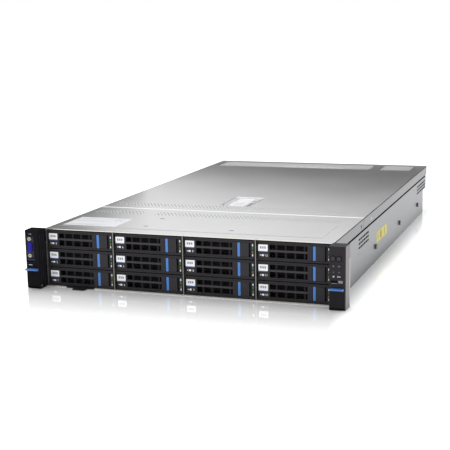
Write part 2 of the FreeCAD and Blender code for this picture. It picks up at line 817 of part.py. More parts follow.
save("ear_left", [left_hood(), mirrored(ear_bracket())])
save("ear_right", [right_hood(), ear_bracket()])
save("ear_lever_left", [mirrored(solid) for solid in ear_lever()])
save("ear_lever_right", ear_lever())


# Push buttons of the right ear: round caps that stand a little in front of the hood.
def knob(x):
    return rod(knob_radius, Vector(x, -ear_depth - knob_proud, knob_z), knob_length, Vector(0, 1, 0))


save("power_button", [knob(power_knob_x)])
save("locate_button", [knob(locate_knob_x)])


# Ports of the left ear: an upright video socket with its two hexagon posts, and a USB
# socket with its tongue.
def video_socket():
    front = -ear_depth + 0.8
    flange_half = video_flange_length / 2 + video_flange_end
    flange = block(port_x - video_flange_width / 2, port_x + video_flange_width / 2, front, front + 1.0,
                   video_z - flange_half, video_z + flange_half)
    half_length = video_length / 2
    half_width = video_width / 2
    slant = 1.2
    left = port_x - half_width
    right = port_x + half_width
    outline = [(left, video_z - half_length), (right, video_z - half_length + slant)]
    outline += [(right, video_z + half_length - slant), (left, video_z + half_length)]
    insert = along_y(outline, -ear_depth - 1.0, -ear_depth + port_depth - 2)
    posts = []
    for side in (-1, 1):
        centre_z = video_z + side * video_screw_pitch / 2
        radius = hex_flats / math.sqrt(3)
        corners = []
        for index in range(6):
            angle = math.radians(60 * index)
            corners.append((port_x + radius * math.cos(angle), centre_z + radius * math.sin(angle)))
        posts.append(along_y(corners, -ear_depth - 1.5, front))
    return [flange.cut(insert), insert] + posts


def usb_socket():
    front = -ear_depth + 0.2
    back = -ear_depth + port_depth
    half_width = usb_width / 2
    half_height = usb_height / 2
    shell = block(port_x - half_width, port_x + half_width, front, back,
                  usb_z - half_height, usb_z + half_height)
    inner = block(port_x - half_width + shell_steel, port_x + half_width - shell_steel, front, back - 1,
                  usb_z - half_height + shell_steel, usb_z + half_height - shell_steel)
    tongue = block(port_x - half_width + 1.0, port_x + half_width - 1.0, front + 0.8, back - 1,
                   usb_z, usb_z + 1.8)
    return [shell.cut(inner), tongue]


save("front_ports", video_socket() + usb_socket())


# Pull-out tag: a thin plate in a slot of the floor, with a narrower grip in front.
def pull_tag():
    middle = (tag_left + tag_right) / 2 + 2.5
    low = tag_lip + tag_play
    outline = [(tag_left, tag_length - tag_front), (tag_left, -tag_front + 1), (tag_left + 2, -tag_front)]
    outline += [(middle - tag_grip_half - 1, -tag_front), (middle - tag_grip_half + 2, -tag_grip_reach)]
    outline += [(middle + tag_grip_half - 2, -tag_grip_reach), (middle + tag_grip_half + 1, -tag_front)]
    outline += [(tag_right - 2, -tag_front), (tag_right, -tag_front + 1), (tag_right, tag_length - tag_front)]
    return along_z(outline, low, low + tag_thickness)


save("pull_tag", [pull_tag()])


# Backplane: a board against the cage's cross wall, with a plug for each drive and air
# slots above the plugs.
def backplane():
    low = tray_steel + 0.8
    board = block(-joggled_inner + 2, joggled_inner - 2, cage_depth, cage_depth + plane_thickness,
                  low, low + body_height - plane_room)
    plugs = []
    slots = []
    plug_front = drive_front + drive_length + plug_gap
    for column in range(columns):
        for row in range(rows):
            x, z = cell_corner(column, row)
            centre = x + column_pitch / 2
            bottom = z + cage_window_margin + 1
            plugs.append(block(centre - plug_width / 2, centre + plug_width / 2, plug_front, cage_depth,
                               bottom, bottom + plug_height))
            slots.append(block(centre - drive_width / 2 + 8, centre + drive_width / 2 - 8, cage_depth,
                               cage_depth + plane_thickness, bottom + plug_height + 2,
                               bottom + window_height - 3))
    return [board.cut(slots)] + plugs


save("backplane", backplane())


# Fan wall: a plate with eight-sided openings, and a square housing behind each of them
# with a motor seat on three arms.
def round_prism(radius, sides, centre_x, centre_z, y0, y1):
    """A many-sided bar along Y whose flats touch the given radius."""
    corner = radius / math.cos(math.pi / sides)
    outline = []
    for index in range(sides):
        angle = 2 * math.pi * (index + 0.5) / sides
        outline.append((centre_x + corner * math.cos(angle), centre_z + corner * math.sin(angle)))
    return along_y(outline, y0, y1)


def fan_centre(index):
    return (index - (fan_count - 1) / 2) * fan_pitch, tray_steel + fan_size / 2


def fan_housing(index):
    x, z = fan_centre(index)
    near = fan_plate_y + fan_plate
    far = near + fan_depth
    half = fan_size / 2
    housing = block(x - half, x + half, near, far, z - half, z + half)
    edges = [edge for edge in housing.Edges if edge.BoundBox.YLength > fan_depth / 2]
    housing = housing.makeChamfer(4.0, edges)
    bore = round_prism(fan_bore / 2, 16, x, z, near, far)
    seat = round_prism(fan_motor_radius, 12, x, z, far - fan_motor_base, far)
    axle = rod(fan_axle_radius, Vector(x, near + 8, z), fan_depth - fan_motor_base - 8, Vector(0, 1, 0))
    arms = []
    for turn in (90, 210, 330):
        arm = block(x + fan_motor_radius - 3, x + fan_bore / 2 + 0.5, far - 3, far, z - 2, z + 2)
        arm.rotate(Vector(x, 0, z), Vector(0, 1, 0), turn)
        arms.append(arm)
    return fused([housing.cut(bore), seat, axle] + arms)


def fan_wall():
    low = tray_steel
    plate = block(-joggled_inner, joggled_inner, fan_plate_y, fan_plate_y + fan_plate, low, wall_top - 1)
    holes = []
    for index in range(fan_count):
        x, z = fan_centre(index)
        holes.append(round_prism(fan_bore / 2, 8, x, z, fan_plate_y, fan_plate_y + fan_plate))
    return [plate.cut(holes)] + [fan_housing(index) for index in range(fan_count)]


# Fan rotor: a cup round the axle with slanted blades.
def fan_rotor(index):
    x, z = fan_centre(index)
    near = fan_plate_y + fan_plate + 4
    length = fan_depth - fan_motor_base - 4 - fan_gap
    hub = round_prism(fan_motor_radius, 12, x, z, near, near + length)
    blades = []
    reach = fan_bore / 2 - fan_gap
    for turn in range(blade_count):
        blade = block(fan_motor_radius - 1, reach - 1, -length * 0.42, length * 0.42,
                      -blade_thickness / 2, blade_thickness / 2)
        blade.rotate(Vector(0, 0, 0), Vector(1, 0, 0), blade_angle)
        blade.rotate(Vector(0, 0, 0), Vector(0, 1, 0), turn * 360 / blade_count)
        blade.translate(Vector(x, near + length / 2, z))
        blades.append(blade)
    hole = rod(fan_axle_radius + running_play, Vector(x, near, z), length, Vector(0, 1, 0))
    return fused([hub] + blades).cut(hole)


save("fan_wall", fan_wall())
for index in range(fan_count):
    save("fan_rotor_%d" % (index + 1), [fan_rotor(index)])


# Main board on its posts, with two finned heat sinks and the memory modules.
def supply_left_edge(index):
    return supply_right - (index + 1) * supply_width - index * supply_gap


def board_parts():
    near = fan_plate_y + board_setback
    supply_left = supply_left_edge(1)
    supply_front = lower_depth - supply_length
    far = lower_depth - panel_steel - 1
    half = inner_wall - 3
    step_y = supply_front - board_corner
    step_x = supply_left - board_corner
    outline = [(-half, near), (half, near), (half, step_y), (step_x, step_y), (step_x, far), (-half, far)]
    board = along_z(outline, board_height, board_height + board_thickness)
    parts = [board]
    for x in (-half + board_post_inset, 0, half - board_post_inset):
        for y in (near + board_post_inset, step_y - board_post_inset):
            parts.append(hexagon_post(x, y, 5.5, tray_steel, board_height))
    floor = board_height + board_thickness
    sink_y = near + (supply_front - near) * sink_share
    sink_x = half_body * sink_place
    memory_y = sink_y - (memory_length - sink_length) / 2
    bank = sink_width / 2 + 2 * memory_pitch + 4
    for centre in (-sink_x, sink_x):
        parts.append(heat_sink(centre, sink_y, floor))
        for index in range(4):
            for side in (-1, 1):
                place = centre + side * bank + (index - 1.5) * memory_pitch
                parts.append(block(place - 1.8, place + 1.8, memory_y, memory_y + memory_length,
                                   floor, floor + memory_height))
    return parts


def hexagon_post(x, y, flats, z0, z1):
    radius = flats / math.sqrt(3)
    corners = [(x + radius * math.cos(index * math.pi / 3), y + radius * math.sin(index * math.pi / 3))
               for index in range(6)]
    return along_z(corners, z0, z1)


def heat_sink(centre, y, floor):
    left = centre - sink_width / 2
    spacing = (sink_width - sink_fin) / (sink_fins - 1)
    base = floor + 8
    top = floor + body_height - sink_room
    outline = [(left, floor), (left + sink_width, floor)]
    for index in reversed(range(sink_fins)):
        place = left + index * spacing
        outline += [(place + sink_fin, base), (place + sink_fin, top), (place, top), (place, base)]
    return along_y(outline[:2] + outline[3:-1], y, y + sink_length)


save("main_board", board_parts())


# Power supplies: two cases side by side behind the lower rear panel, each with a mains
# inlet, a row of air slots and a bow handle.
def power_supply(index):
    x0 = supply_left_edge(index)
    x1 = x0 + supply_width
    low = tray_steel + supply_floor_gap
    high = low + supply_height
    far = lower_depth + 1.0
    case = block(x0, x1, far - supply_length, far, low, high)
    inlet_x = x0 + inlet_margin
    inlet_z = low + (supply_height - inlet_height) / 2
    inlet = block(inlet_x, inlet_x + inlet_width, far - inlet_depth, far, inlet_z, inlet_z + inlet_height)
    slots = []
    for place in range(4):
        x = x0 + supply_slot_start + place * supply_slot_pitch
        slots.append(block(x, x + supply_slot_width, far - 3, far, low + 6, high - 6))
    pins = []
    for side in (-1, 0, 1):
        x = inlet_x + inlet_width / 2 + side * 7.0
        z = inlet_z + inlet_height / 2 + (2 if side == 0 else -2)
        pins.append(block(x - 1, x + 1, far - inlet_depth, far - inlet_depth + 6, z - 2, z + 2))
    handle_x = x0 + handle_start
    foot = low + handle_foot
    head = high - handle_foot
    tip = far + handle_reach
    bow = [(far, foot), (tip - handle_bend, foot), (tip, foot + handle_bend)]
    bow += [(tip, head - handle_bend), (tip - handle_bend, head), (far, head)]
    foot += handle_bar
    head -= handle_bar
    tip -= handle_bar
    bow += [(far, head), (tip - handle_inner_bend, head), (tip, head - handle_inner_bend)]
    bow += [(tip, foot + handle_inner_bend), (tip - handle_inner_bend, foot), (far, foot)]
    handle = along_x(bow, handle_x, handle_x + handle_width)
    return [case.cut([inlet] + slots), handle] + pins


for index in range(2):
    save("power_supply_%d" % (index + 1), power_supply(index))


# Rear panel: a sheet folded to the step of the base, with card slots, vents and sockets.
def rear_panel():
    upper_low = rear_step_height
    back = body_depth
    half = joggled_inner
    shelf_top = upper_low + panel_steel
    shelf = block(-half, half, lower_depth - panel_steel, back, upper_low, shelf_top)
    upper = block(-half, half, back - panel_steel, back, shelf_top, wall_top)
    cuts = []
    for left in card_groups():
        for row in range(2):
            low = upper_low + corner_play + row * card_slot_pitch
            cuts.append(block(left, left + card_slot_width, back - panel_steel, back, low, low + card_slot_height))
    start = card_groups()[0] + card_slot_width
    spacing = (card_groups()[1] - start) / (rear_vent_count + 1)
    for place in range(rear_vent_count):
        x = start + (place + 1) * spacing - spacing / 4
        cuts.append(block(x, x + spacing / 2, back - panel_steel, back,
                          upper_low + corner_play * 2, wall_top - corner_play * 2))
    return [shelf] + lower_sheet() + [upper.cut(cuts)]


# The lower sheet is made of strips that meet edge to edge round the two network sockets
# and the opening for the power supplies.
def lower_sheet():
    front = lower_depth - panel_steel
    half = joggled_inner
    supply_left = supply_left_edge(1) - supply_play
    supply_end = supply_right + supply_play
    supply_top = tray_steel + supply_floor_gap + supply_height + supply_play
    row_low = port_row_z - network_height / 2
    row_high = port_row_z + network_height / 2
    first, second = network_places()
    strips = [(-half, supply_left, tray_steel, row_low), (-half, supply_left, row_high, rear_step_height)]
    strips += [(supply_left, half, supply_top, rear_step_height), (supply_end, half, tray_steel, supply_top)]
    strips += [(-half, first, row_low, row_high), (first + network_width, second, row_low, row_high)]
    sheet = [block(x0, x1, front, lower_depth, z0, z1) for x0, x1, z0, z1 in strips]
    rest = block(second + network_width, supply_left, front, lower_depth, row_low, row_high)
    holes = []
    for x, width, height in socket_places():
        holes.append(block(x, x + width, front, lower_depth, port_row_z - height / 2, port_row_z + height / 2))
    return sheet + [rest.cut(holes)]


def card_groups():
    return [-half_body + card_margin, half_body - card_slot_width - card_right_inset]


def network_places():
    """Left edges of the two network sockets."""
    left = -half_body + card_margin
    return left, left + network_pitch


def socket_places():
    """Left edge, width and height of the USB and video sockets."""
    left = -half_body + card_margin
    width = usb_width + socket_play
    height = usb_height + 2 * socket_play
    places = [(left + place, width, height) for place in usb_pair_places]
    return places + [(left + screen_place, screen_width, screen_height)]


def card_covers():
    covers = []
    for left in card_groups():
        for row in range(2):
            low = rear_step_height + corner_play + row * card_slot_pitch
            covers.append(block(left - 4, left + card_slot_width + 4, panel_face - 0.9, panel_face,
                                low - 1, low + card_slot_height + 1))
    return covers


def network_socket(x):
    """Four walls and a back that stand edge to edge, open to the rear."""
    left = x + socket_play
    right = x + network_width - socket_play
    low = port_row_z - network_height / 2 + socket_play
    high = port_row_z + network_height / 2 - socket_play
    near = lower_depth - network_depth
    inside = near + network_back
    wall = network_wall
    back = block(left, right, near, inside, low, high)
    floor = block(left, right, inside, lower_depth, low, low + wall)
    roof = block(left, right, inside, lower_depth, high - wall, high)
    sides = [block(left, left + wall, inside, lower_depth, low + wall, high - wall)]
    sides.append(block(right - wall, right, inside, lower_depth, low + wall, high - wall))
    return [back, floor, roof] + sides


def rear_sockets():
    sockets = []
    for x in network_places():
        sockets += network_socket(x)
    for x, width, height in socket_places():
        shell = block(x + socket_play, x + width - socket_play, lower_depth - socket_depth, lower_depth,
                      port_row_z - height / 2 + socket_play, port_row_z + height / 2 - socket_play)
        hole = block(x + socket_rim, x + width - socket_rim, lower_depth - socket_recess, lower_depth,
                     port_row_z - height / 2 + socket_rim, port_row_z + height / 2 - socket_rim)
        sockets.append(shell.cut(hole))
    return sockets


save("rear_panel", rear_panel() + card_covers() + rear_sockets())
print("moved by", -mid_length, "along Y")
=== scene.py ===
import math

import bpy
import numpy as np
from mathutils import Matrix, Vector


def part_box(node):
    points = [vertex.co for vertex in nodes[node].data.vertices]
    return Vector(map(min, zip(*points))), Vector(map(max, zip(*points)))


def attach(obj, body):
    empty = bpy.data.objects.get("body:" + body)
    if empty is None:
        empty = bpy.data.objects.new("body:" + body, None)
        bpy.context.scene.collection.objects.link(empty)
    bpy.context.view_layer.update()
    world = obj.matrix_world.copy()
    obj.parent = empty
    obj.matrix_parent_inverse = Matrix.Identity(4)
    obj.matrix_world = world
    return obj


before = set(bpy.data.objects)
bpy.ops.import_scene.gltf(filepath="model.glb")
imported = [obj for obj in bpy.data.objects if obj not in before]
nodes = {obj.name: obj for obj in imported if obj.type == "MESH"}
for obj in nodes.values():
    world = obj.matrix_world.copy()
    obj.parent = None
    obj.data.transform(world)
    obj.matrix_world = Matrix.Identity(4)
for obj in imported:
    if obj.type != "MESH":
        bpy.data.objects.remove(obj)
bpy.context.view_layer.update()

# Base tray and drive cage: zinc-plated sheet, folded, with the cage riveted into the tray. The whole chassis
# stands on the tray. Its outer sheet is painted darker than inside as shade, its front lip painted bright as
# a highlight, and the groove under the covers' flanges painted dark as shade. The cage's dividers show as
# thin lines between the columns of carriers, their fronts painted bright as highlights, their sides and a
# strip beside each painted dark as shade.
mm = 0.001
face_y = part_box("front_cover")[0].y          # plane of the carriers' faces and of the covers' front edge


def place(x, y, z):
    """A point measured in millimetres from the middle of the carriers' plane, as metres in the frame."""
    return Vector((x * mm, face_y + y * mm, z * mm))


def extent(node):
    """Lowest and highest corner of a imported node, in millimetres from the middle of the carriers' plane."""
    return [Vector((corner.x, corner.y - face_y, corner.z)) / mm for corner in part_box(node)]


tray_high = extent("base_tray")[1]
side_x = tray_high.x                         # plane of the tray's and the covers' outer sides


def paint(red, green, blue):
    """A colour as read from a picture, 0 to 255, as linear light."""
    levels = [value / 255 for value in (red, green, blue)]
    return [v / 12.92 if v <= 0.04045 else ((v + 0.055) / 1.055) ** 2.4 for v in levels] + [1.0]


def maths(tree, operation, first, second, third=None):
    """A maths node of a tree, its inputs linked or set, as the node's output."""
    node = tree.nodes.new("ShaderNodeMath")
    node.operation = operation
    for socket, value in zip(node.inputs, (first, second, third)):
        if isinstance(value, bpy.types.NodeSocket):
            tree.links.new(value, socket)
        elif value is not None:
            socket.default_value = value
    return node.outputs[0]


def effect_group(name, stretch, fine_scale, slow_scale):
    """Finish of a surface as one node group: a fine grain, stretched or not, and a slow change of shade."""
    group = bpy.data.node_groups.new(name, "ShaderNodeTree")
    for label, kind, value in (("Colour", "NodeSocketColor", (0.5, 0.5, 0.5, 1.0)),
                               ("Roughness", "NodeSocketFloat", 0.5), ("Change", "NodeSocketFloat", 0.05)):
        group.interface.new_socket(name=label, in_out="INPUT", socket_type=kind).default_value = value
    for label, kind in (("Colour", "NodeSocketColor"), ("Roughness", "NodeSocketFloat"),
                        ("Height", "NodeSocketFloat")):
        group.interface.new_socket(name=label, in_out="OUTPUT", socket_type=kind)
    new = group.nodes.new
    link = group.links.new
    source = new("NodeGroupInput")
    result = new("NodeGroupOutput")
    coordinates = new("ShaderNodeTexCoord").outputs["Object"]
    mapping = new("ShaderNodeMapping")
    mapping.inputs["Scale"].default_value = stretch
    link(coordinates, mapping.inputs["Vector"])

    def noise(vector, scale, detail):
        texture = new("ShaderNodeTexNoise")
        texture.inputs["Scale"].default_value = scale
        texture.inputs["Detail"].default_value = detail
        link(vector, texture.inputs["Vector"])
        return texture.outputs["Fac"]

    fine_share = 0.6
    fine = noise(mapping.outputs["Vector"], fine_scale, 3.0)
    slow = noise(coordinates, slow_scale, 2.0)
    both = maths(group, "MULTIPLY_ADD", fine, fine_share, maths(group, "MULTIPLY", slow, 1 - fine_share))
    shade = new("ShaderNodeMapRange")
    shade.inputs["From Min"].default_value = 0.3
    shade.inputs["From Max"].default_value = 0.7
    link(both, shade.inputs["Value"])
    link(maths(group, "SUBTRACT", 1.0, source.outputs["Change"]), shade.inputs["To Min"])
    link(maths(group, "ADD", 1.0, source.outputs["Change"]), shade.inputs["To Max"])
    coloured = new("ShaderNodeVectorMath")
    coloured.operation = "SCALE"
    link(source.outputs["Colour"], coloured.inputs[0])
    link(shade.outputs[0], coloured.inputs["Scale"])
    link(coloured.outputs["Vector"], result.inputs["Colour"])
    link(maths(group, "MULTIPLY", source.outputs["Roughness"], shade.outputs[0]), result.inputs["Roughness"])
    link(fine, result.inputs["Height"])
    return group


moulded_grain = effect_group("moulded_grain", (1, 1, 1), 2600.0, 40.0)
rolled_sheet = effect_group("rolled_sheet", (1, 0.06, 1), 900.0, 9.0)       # streaks along the sheet


def finished(name, group, colour, roughness, change, metallic=0.0, bump=0.02, coat=0.0, shine=0.5):
    """A material whose colour, roughness and relief come from one of the surface groups."""
    material = bpy.data.materials.new(name)
    material.use_nodes = True
    material.diffuse_color = colour
    tree = material.node_tree
    shader = tree.nodes["Principled BSDF"]
    effect = tree.nodes.new("ShaderNodeGroup")
    effect.node_tree = group
    effect.inputs["Colour"].default_value = colour
    effect.inputs["Roughness"].default_value = roughness
    effect.inputs["Change"].default_value = change
    relief = tree.nodes.new("ShaderNodeBump")
    relief.inputs["Strength"].default_value = bump
    relief.inputs["Distance"].default_value = 0.05 * mm
    tree.links.new(effect.outputs["Colour"], shader.inputs["Base Color"])
    tree.links.new(effect.outputs["Roughness"], shader.inputs["Roughness"])
    tree.links.new(effect.outputs["Height"], relief.inputs["Height"])
    tree.links.new(relief.outputs["Normal"], shader.inputs["Normal"])
    shader.inputs["Metallic"].default_value = metallic
    shader.inputs["Coat Weight"].default_value = coat
    shader.inputs["Specular IOR Level"].default_value = shine
    return material


def plastic(name, colour, roughness=0.5, change=0.12, coat=0.0, shine=0.3):
    """A moulded plastic or a printed film."""
    return finished(name, moulded_grain, colour, roughness, change, bump=0.25, coat=coat, shine=shine)


def metal(name, colour, roughness=0.4, change=0.06, metallic=0.9):
    """A plated, painted or bare sheet."""
    return finished(name, rolled_sheet, colour, roughness, change, metallic=metallic, bump=0.05)


def dress(node, materials, choose=None):
    """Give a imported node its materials. choose picks an index for each face by its middle and normal."""
    piece = nodes[node]
    polygons = piece.data.polygons
    piece.data.materials.clear()
    for material in materials:
        piece.data.materials.append(material)
    picked = np.zeros(len(polygons), np.int32)
    if choose is not None:
        middles = np.zeros(len(polygons) * 3)
        normals = np.zeros(len(polygons) * 3)
        polygons.foreach_get("center", middles)
        polygons.foreach_get("normal", normals)
        middles = (middles.reshape(-1, 3) - (0.0, face_y, 0.0)) / mm
        picked = np.asarray(choose(middles, normals.reshape(-1, 3)), np.int32)
    polygons.foreach_set("material_index", picked)
    piece.data.update()


def settle(name, mesh, body):
    """Put a finished mesh into the scene as a piece at the origin that moves with one body."""
    piece = bpy.data.objects.new(name, mesh)
    bpy.context.scene.collection.objects.link(piece)
    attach(piece, body)


def add_piece(name, shapes, material, body):
    """One piece made of one or more closed shapes, each given as its points and faces."""
    points = []
    faces = []
    for shape_points, shape_faces in shapes:
        first = len(points)
        points += shape_points
        faces += [tuple(first + index for index in face) for face in shape_faces]
    mesh = bpy.data.meshes.new(name)
    mesh.from_pydata([tuple(point) for point in points], [], faces)
    mesh.materials.append(material)
    mesh.validate()
    mesh.update()
    settle(name, mesh, body)


def bar(corner, opposite, bevel=0.0, front="y"):
    """A closed block between two corners in millimetres, its front or top face set in by a small bevel."""
    low = [min(pair) for pair in zip(corner, opposite)]
    high = [max(pair) for pair in zip(corner, opposite)]
    points = [[(low, high)[x][0], (low, high)[y][1], (low, high)[z][2]]
              for y in (0, 1) for x, z in ((0, 0), (1, 0), (1, 1), (0, 1))]
    axis, outer = (1, low[1]) if front == "y" else (2, high[2])
    for point in points:
        if point[axis] == outer:
            for other in {0, 1, 2} - {axis}:
                point[other] += bevel if point[other] == low[other] else -bevel
    faces = [(0, 1, 2, 3), (7, 6, 5, 4), (0, 4, 5, 1), (1, 5, 6, 2), (2, 6, 7, 3), (3, 7, 4, 0)]
    return [place(*point) for point in points], faces


# Painted shade: the tray's outer sheet is a darker copy of the sheet used inside, for the shade on its sides.
shaded_tray_steel = metal("shaded_tray_sheet", paint(134, 135, 138), 0.42)
inner_steel = metal("inner_sheet", paint(176, 177, 178), 0.5)
# Painted highlight: a lighter copy of the sheet for the front and top faces of the tray's lip.
lip_highlight_steel = metal("tray_lip_highlight", paint(182, 180, 172), 0.35, metallic=0.75)
# Painted shade: a darker copy of the sheet for the dividers' sides and the latch rim's sides; also the cage's
# rivets.
shade_and_rivet_grey = metal("cage_shade_and_rivets", paint(120, 121, 124), 0.5)
# Painted highlight: a lighter copy of the sheet for the dividers' front faces.
divider_highlight = metal("divider_highlight", paint(132, 130, 125), 0.35, metallic=0.75)
# Painted shade in the groove under the flanges, along folds and seams and beside the dividers; also the latch
# rim's dark screw.
shade_line_and_screw_dark = plastic("shade_line_and_screw_dark", paint(30, 30, 33), 0.7, shine=0.1)
column_pitch = 108.3
column_gaps = (-column_pitch, 0, column_pitch)
divider_front = -3.0
sheet = 1.2                                  # thickness of the tray's sheet
step_z = 67.0                                # the tray's sides step in above this height


def tray_faces(middles, normals):
    x, y, z = middles.T
    # Painted highlight on the lip's front and top faces.
    lip = (y < 0.01) & ((normals[:, 1] < -0.5) | (normals[:, 2] > 0.5)) & (z < step_z)
    # Painted shade in the groove under the covers' flanges.
    groove = (z > step_z + 0.9) & (np.abs(x) > side_x - sheet - 0.11)
    inside = (np.abs(x) < side_x - sheet + 0.01) & (z > sheet - 0.05)
    return np.where(lip, 1, np.where(groove, 3, np.where(inside, 2, 0)))


def cage_faces(middles, normals):
    # Front faces of the dividers get the painted highlight, all other faces the painted shade.
    return (middles[:, 1] < divider_front + 0.4) & (np.abs(middles[:, 0]) < column_pitch * 1.4)


dress("base_tray", [shaded_tray_steel, lip_highlight_steel, inner_steel, shade_line_and_screw_dark], tray_faces)
dress("drive_cage", [shade_and_rivet_grey, divider_highlight], cage_faces)
# Painted shade: a dark strip beside each divider for the shade of its fold.
fold_shade_strips = [bar((x - 1.2, divider_front - 0.03, 1.3), (x + 0.1, divider_front, 85.5)) for x in column_gaps]
add_piece("divider_fold_shade", fold_shade_strips, shade_line_and_screw_dark, "chassis")


# Rail studs: six turned steel pins, pressed into the tray's sides, darker than the sheet.
# The slide rails of a rack hook onto their heads.
dress("rail_studs", [metal("stud_dark", paint(96, 96, 100), 0.4)])


# Label on the tray's right side: yellow film with plain grey rules, glued on between the side vents and
# the middle stud.
label_yellow = plastic("label_yellow", paint(190, 178, 40), 0.45, 0.04)
label_ink = plastic("label_ink", paint(96, 96, 98), 0.5, 0.04)
film_face = side_x + 0.12
ink_face = film_face + 0.04
label_near, label_far, label_foot, label_head = 287, 372, 29, 46
film = bar((side_x, label_near, label_foot), (film_face, label_far, label_head))
add_piece("side_label", [film], label_yellow, "chassis")
rules = [bar((film_face, y, label_foot + 2.5), (ink_face, y + width, label_head - 2.5))
         for y, width in ((318, 9), (350, 4))]
rules += [bar((film_face, label_near + 4, z), (ink_face, label_near + 24, z + 0.9)) for z in (34, 38, 42)]
add_piece("side_label_rules", rules, label_ink, "chassis")


# Screws and rivets on both sides: a flat dark screw holds the front cover's flange, a pale rivet sits in the
# rear cover's flange and moves with it, and small rivets of the cage show in the tray's side.
screw_dark = metal("screw_dark", paint(58, 58, 62), 0.35)
screw_pale = metal("screw_pale", paint(196, 196, 194), 0.3)
flange_z = 77                                # middle of the covers' flanges
screw_y, rivet_y = 173, 245
screw_height = 0.4
cage_rivets = ((153, 39), (60, 12), (153, 12), (640, 60), (752, 24), (768, 52))


def disc(centre, radius, thickness, axis, sides=20, edge=0.0):
    """A closed round plate in millimetres. axis is the direction that its front looks in, edge its bevel."""
    axis = Vector(axis)
    across = axis.orthogonal().normalized()
    other = axis.cross(across)
    points = []
    for depth, reach in ((0.0, radius), (thickness - edge, radius), (thickness, radius - edge)):
        for index in range(sides):
            angle = 2 * math.pi * index / sides
            outwards = across * math.cos(angle) + other * math.sin(angle)
            points.append(place(*(Vector(centre) + axis * depth + outwards * reach)))
    faces = [tuple(reversed(range(sides))), tuple(range(2 * sides, 3 * sides))]
    for ring in (0, sides):
        for index in range(sides):
            follow = (index + 1) % sides
            faces.append((ring + index, ring + follow, ring + sides + follow, ring + sides + index))
    return points, faces


for side, sign in (("right", 1), ("left", -1)):
    outward = (sign, 0, 0)
    surface = sign * side_x
    head = disc((surface, screw_y, flange_z), 2.6, screw_height, outward, 24, 0.15)
    cross = [bar((surface + sign * screw_height, screw_y - long, flange_z - high),
                 (surface + sign * (screw_height + 0.06), screw_y + long, flange_z + high))
             for long, high in ((1.6, 0.3), (0.3, 1.6))]
    pale_rivet = disc((surface, rivet_y, flange_z), 2.0, 0.3, outward, 20, 0.15)
    rivets = [disc((surface, y, z), 1.3, 0.25, outward, 14, 0.1) for y, z in cage_rivets]
    add_piece("cover_screw_" + side, [head], screw_dark, "chassis")
    add_piece("cover_screw_cross_" + side, cross, label_ink, "chassis")
    add_piece("cover_rivet_" + side, [pale_rivet], screw_pale, "rear_cover")
    add_piece("cage_rivets_" + side, rivets, shade_and_rivet_grey, "chassis")


# Covers: two folded sheets with flanges down the sides, satin, lighter than the tray. The front one is
# screwed on and the rear one slides. The cut front edge, the floor of the latch's recess and the ridge at the
# seam are painted bright as highlights, and the flanges and the raised field's front slope are painted darker
# as shade.
cover_sheet = metal("cover_sheet", paint(223, 223, 224), 0.3, 0.05)
# Painted highlight: a lighter, less metallic copy of the cover sheet for the cut front edge.
front_edge_highlight = metal("front_edge_highlight", paint(222, 220, 212), 0.3, 0.03, metallic=0.7)
# Painted highlight: the recess's floor is a lighter, less metallic copy of the cover sheet.
pan_highlight_sheet = metal("pan_highlight_sheet", paint(236, 236, 238), 0.4, 0.03, metallic=0.2)
# Painted shade: the covers' flanges are a darker copy of the cover sheet.
shaded_flange_sheet = metal("shaded_flange_sheet", paint(120, 120, 122), 0.4, 0.04)
# Painted shade: the raised field's front slope is a darker copy of the cover sheet.
shaded_slope_sheet = metal("shaded_slope_sheet", paint(178, 178, 180), 0.6, 0.03, metallic=0.5)
# Painted highlight: the ridge at the seam and the holes' rims are a lighter copy of the cover sheet.
ridge_highlight_sheet = metal("ridge_highlight_sheet", paint(240, 240, 240), 0.4, 0.03, metallic=0.2)
cover_z = round(tray_high.z + 1.3, 3)        # top of both sheets
seam = extent("front_cover")[1].y
rear_end = extent("rear_cover")[1].y
flange_foot = extent("rear_cover")[0].z
pan_left, pan_right, pan_near, pan_far = -31.5, 16.5, 245, 333


def front_cover_faces(middles, normals):
    slope = (middles[:, 2] > cover_z) & (normals[:, 2] < 0.95)
    flange = np.abs(normals[:, 0]) > 0.9
    front_edge = (middles[:, 1] < 0.01) & (normals[:, 1] < -0.5)
    return np.where(slope, 2, np.where(flange, 3, front_edge))


def rear_cover_faces(middles, normals):
    x, y, z = middles.T
    ridge = (y < seam + 1.6) & (z > cover_z - 0.1)
    pan = (x > pan_left) & (x < pan_right) & (y > pan_near) & (y < pan_far) & (z < cover_z - 0.05)
    return np.where(ridge, 1, np.where(pan, 2, np.where(np.abs(normals[:, 0]) > 0.9, 3, 0)))


dress("front_cover", [cover_sheet, front_edge_highlight, shaded_slope_sheet, shaded_flange_sheet], front_cover_faces)
dress("rear_cover", [cover_sheet, ridge_highlight_sheet, pan_highlight_sheet, shaded_flange_sheet], rear_cover_faces)


# Folds and lips of the same sheets: a line painted dark as shade along each fold, along the flanges' lower
# edges, at the seam and at the tray's step; lips pressed up between the long slots over the rear and a rolled
# rim round the latch's recess, painted bright as highlights; and grey lines at the rim's sides painted as
# shade.
# Painted highlight: the pressed-up lips and the latch's rim are painted bright.
lip_highlight_white = plastic("lip_highlight_white", paint(240, 240, 240), 0.35, 0.03)
line_depth = 0.05
seam_gap = 0.4
fold_foot = cover_z - 1.6


def side_lines(near, far, foot, head):
    """A thin line on each side of the chassis."""
    return [bar((sign * side_x, near, foot), (sign * (side_x + line_depth), far, head)) for sign in (-1, 1)]


